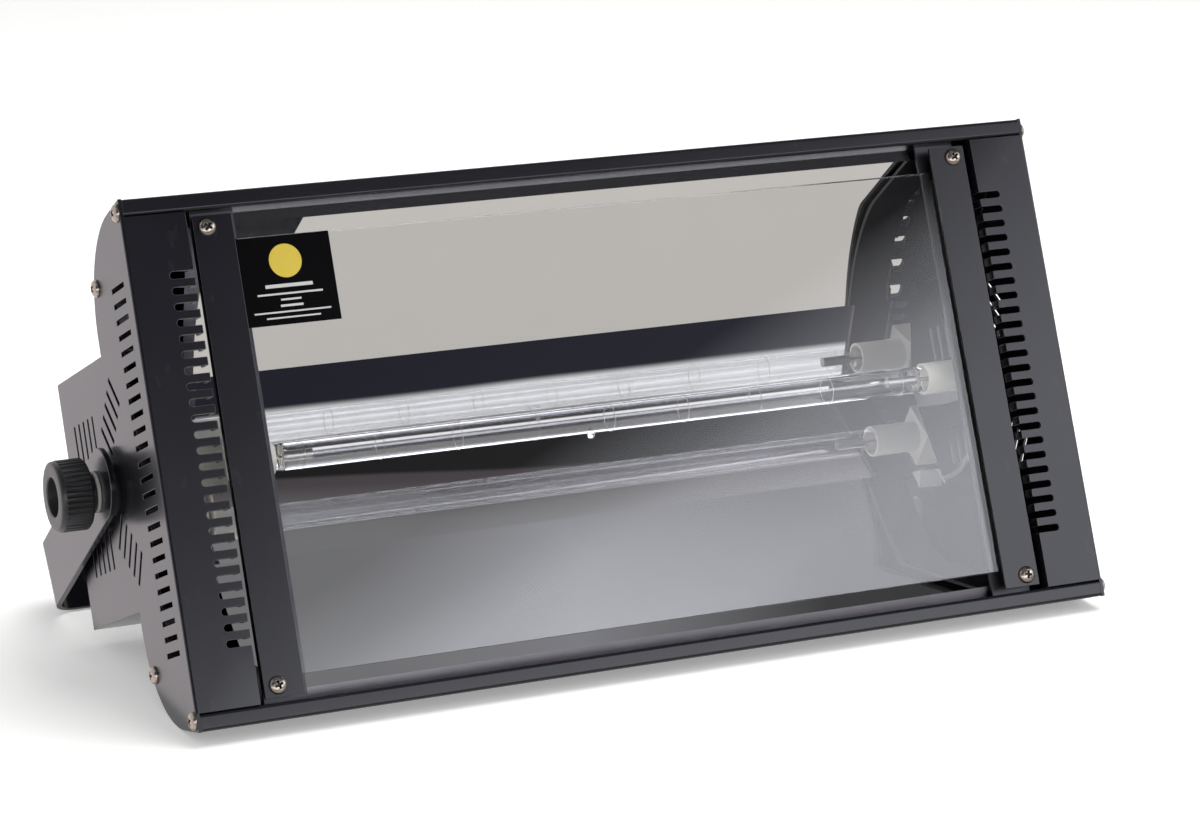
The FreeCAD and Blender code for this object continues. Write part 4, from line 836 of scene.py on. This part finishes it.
def paleFloor():
    size = {"left": -3, "right": 3, "front": -0.62, "back": 4}
    bpy.ops.mesh.primitive_plane_add(size=1)
    floor = bpy.context.object
    floor.name = "floor"
    width, depth = size["right"] - size["left"], size["back"] - size["front"]
    middle = ((size["right"] + size["left"]) / 2, (size["back"] + size["front"]) / 2, 0)
    floor.data.transform(Matrix.Translation(middle) @ Matrix.Diagonal((width, depth, 1, 1)))
    finish, tree, shader = newFinish("studio_floor", {"Base Color": (0.84, 0.85, 0.83), "Roughness": 0.9,
                                                      "Specular IOR Level": 0.0, "Emission Color": (1, 1, 1)})
    lift = addNode(tree, "Math", {0: seenDirectly(tree), 1: 0.3}, operation="MULTIPLY")
    tree.links.new(lift.outputs[0], shader.inputs["Emission Strength"])
    give(floor, finish)


def glowFinish(name, along, stops):
    # A glow that follows one measure of the place, given as weights for x, y and z.
    finish = bpy.data.materials.new(name)
    finish.use_nodes = True
    tree = finish.node_tree
    tree.nodes.remove(tree.nodes["Principled BSDF"])
    spot = addNode(tree, "TexCoord").outputs["Object"]
    measure = addNode(tree, "VectorMath", {0: spot, 1: along}, operation="DOT_PRODUCT").outputs["Value"]
    first, last = stops[0][0], stops[-1][0]
    share = addNode(tree, "MapRange", {"Value": measure, "From Min": first, "From Max": last})
    peak = max(max(level) if isinstance(level, tuple) else level for spot, level in stops)
    scaled = [(spot, tuple(part / peak for part in level) if isinstance(level, tuple) else level / peak)
              for spot, level in stops]
    spread = [((spot - first) / (last - first), level) for spot, level in scaled]
    colour = rampNode(tree, share.outputs["Result"], *spread)
    glow = addNode(tree, "Emission", {"Color": colour, "Strength": peak})
    tree.links.new(glow.outputs[0], tree.nodes["Material Output"].inputs["Surface"])
    return finish


def reflectedOnly(card):
    card.visible_camera = False
    card.visible_diffuse = False
    card.visible_shadow = False
    card.visible_transmission = True


def wallCard():
    # The room on the camera's side: bright low down, dark above a line that climbs to the right.
    size = {"radius": 2.4, "low": -0.3, "high": 2.6, "climb": 0.32, "near": -0.8}
    bpy.ops.mesh.primitive_cylinder_add(vertices=96, radius=size["radius"], depth=1, end_fill_type="NOTHING")
    card = bpy.context.object
    card.name = "wall_card"
    stretch = Matrix.Diagonal((1, 1, size["high"] - size["low"], 1))
    card.data.transform(Matrix.Translation((0, 0, (size["high"] + size["low"]) / 2)) @ stretch)
    pickFaces(card, lambda face: face.center.y > size["near"])
    bpy.ops.mesh.delete(type="FACE")
    leaveEdit()
    give(card, glowFinish("wall_glow", (-size["climb"], 0, 1), [
        (-1.0, 0.02), (0.0, 0.6), (0.2, (3.6, 3.65, 3.95)), (0.8, (3.8, 3.85, 4.15)),
        (0.95, (0.12, 0.12, 0.13)), (1.2, (0.03, 0.03, 0.034)), (3.0, (0.03, 0.03, 0.034))
    ]))
    reflectedOnly(card)


def flatCard(name, low, high, level, finish):
    bpy.ops.mesh.primitive_plane_add(size=1)
    card = bpy.context.object
    card.name = name
    middle = ((low[0] + high[0]) / 2, (low[1] + high[1]) / 2, level)
    stretch = Matrix.Diagonal((high[0] - low[0], high[1] - low[1], 1, 1))
    card.data.transform(Matrix.Translation(middle) @ stretch)
    give(card, finish)
    reflectedOnly(card)


def studioCards():
    # What the mirror shows: a beige table near by, a bright strip beyond it, then the dark room.
    flatCard("table_card", (-1.5, -2.4), (2.5, -0.11), 0.0006, glowFinish("table_glow", (0, 1, 0), [
        (-2.4, (0.02, 0.02, 0.03)), (-0.893, (0.02, 0.02, 0.03)), (-0.843, 1.2), (-0.73, 1.2), (-0.71, 0.2),
        (-0.6, (0.08, 0.08, 0.09)), (-0.5, (0.08, 0.08, 0.09)), (-0.48, (0.64, 0.61, 0.57)),
        (-0.11, (0.66, 0.63, 0.59))
    ]))
    flatCard("back_card", (-3.5, -0.12), (-0.222, 4), 0.0006, glowFinish("back_glow", (0, 1, 0), [
        (-0.12, (1.3, 1.22, 1.26)), (4, (1.36, 1.28, 1.32))
    ]))
    flatCard("near_roof_card", (-1.5, -2.4), (3.5, -0.8), 2.2, glowFinish("near_roof_glow", (0.08, 1, 0), [
        (-1.1, 0.26), (-0.975, 0.2), (-0.925, (0.08, 0.068, 0.072)), (-0.916, (0.075, 0.064, 0.068)),
        (-0.912, 0.012), (-0.8, 0.012)
    ]))
    flatCard("far_roof_card", (-1.5, -0.8), (3.5, 1.5), 2.2, glowFinish("far_roof_glow", (1, 0, 0), [
        (0.4, 0.2), (0.65, (0.2, 0.2, 0.205)), (0.9, (0.25, 0.25, 0.265)), (1.2, 0.06), (1.5, 0.04)
    ]))


def softLamp(name, spot, size, power):
    # An area lamp turned to the middle of the strobe.
    middle = Vector((0, 0, 0.1))
    lamp = bpy.data.lights.new(name, "AREA")
    lamp.shape = "RECTANGLE"
    lamp.size, lamp.size_y = size
    lamp.energy = power
    holder = bpy.data.objects.new(name, lamp)
    holder.matrix_world = Matrix.Translation(spot) @ turnedTo(Vector(spot) - middle)
    holder.visible_glossy = False
    holder.visible_transmission = False
    bpy.context.scene.collection.objects.link(holder)


def dayWorld():
    world = bpy.data.worlds.new("white_room")
    bpy.context.scene.world = world
    world.use_nodes = True
    tree = world.node_tree
    strength = between(tree, seenDirectly(tree), 0.55, 1.0)
    tree.links.new(strength, tree.nodes["Background"].inputs["Strength"])
    tree.nodes["Background"].inputs["Color"].default_value = (1, 1, 1, 1)


paleFloor()
wallCard()
studioCards()
softLamp("overhead_lamp", (0.5, 0.1, 1.7), (1.6, 1.3), 26)
softLamp("right_lamp", (1.6, -1.2, 0.9), (0.9, 0.9), 9)
dayWorld()
print("studio done")

# the camera
view = {"spot": (-0.6442, -1.44115, 0.52338), "direction": (0.39991, 0.87802, -0.263), "lens": 109.452}
camera = bpy.data.cameras.new("camera")
camera.lens = view["lens"]
camera.sensor_width = 36
holder = bpy.data.objects.new("camera", camera)
facing = Vector(view["direction"]).to_track_quat("-Z", "Y").to_matrix().to_4x4()
holder.matrix_world = Matrix.Translation(view["spot"]) @ facing
bpy.context.scene.collection.objects.link(holder)
bpy.context.scene.camera = holder
bpy.context.scene.view_settings.view_transform = "Standard"
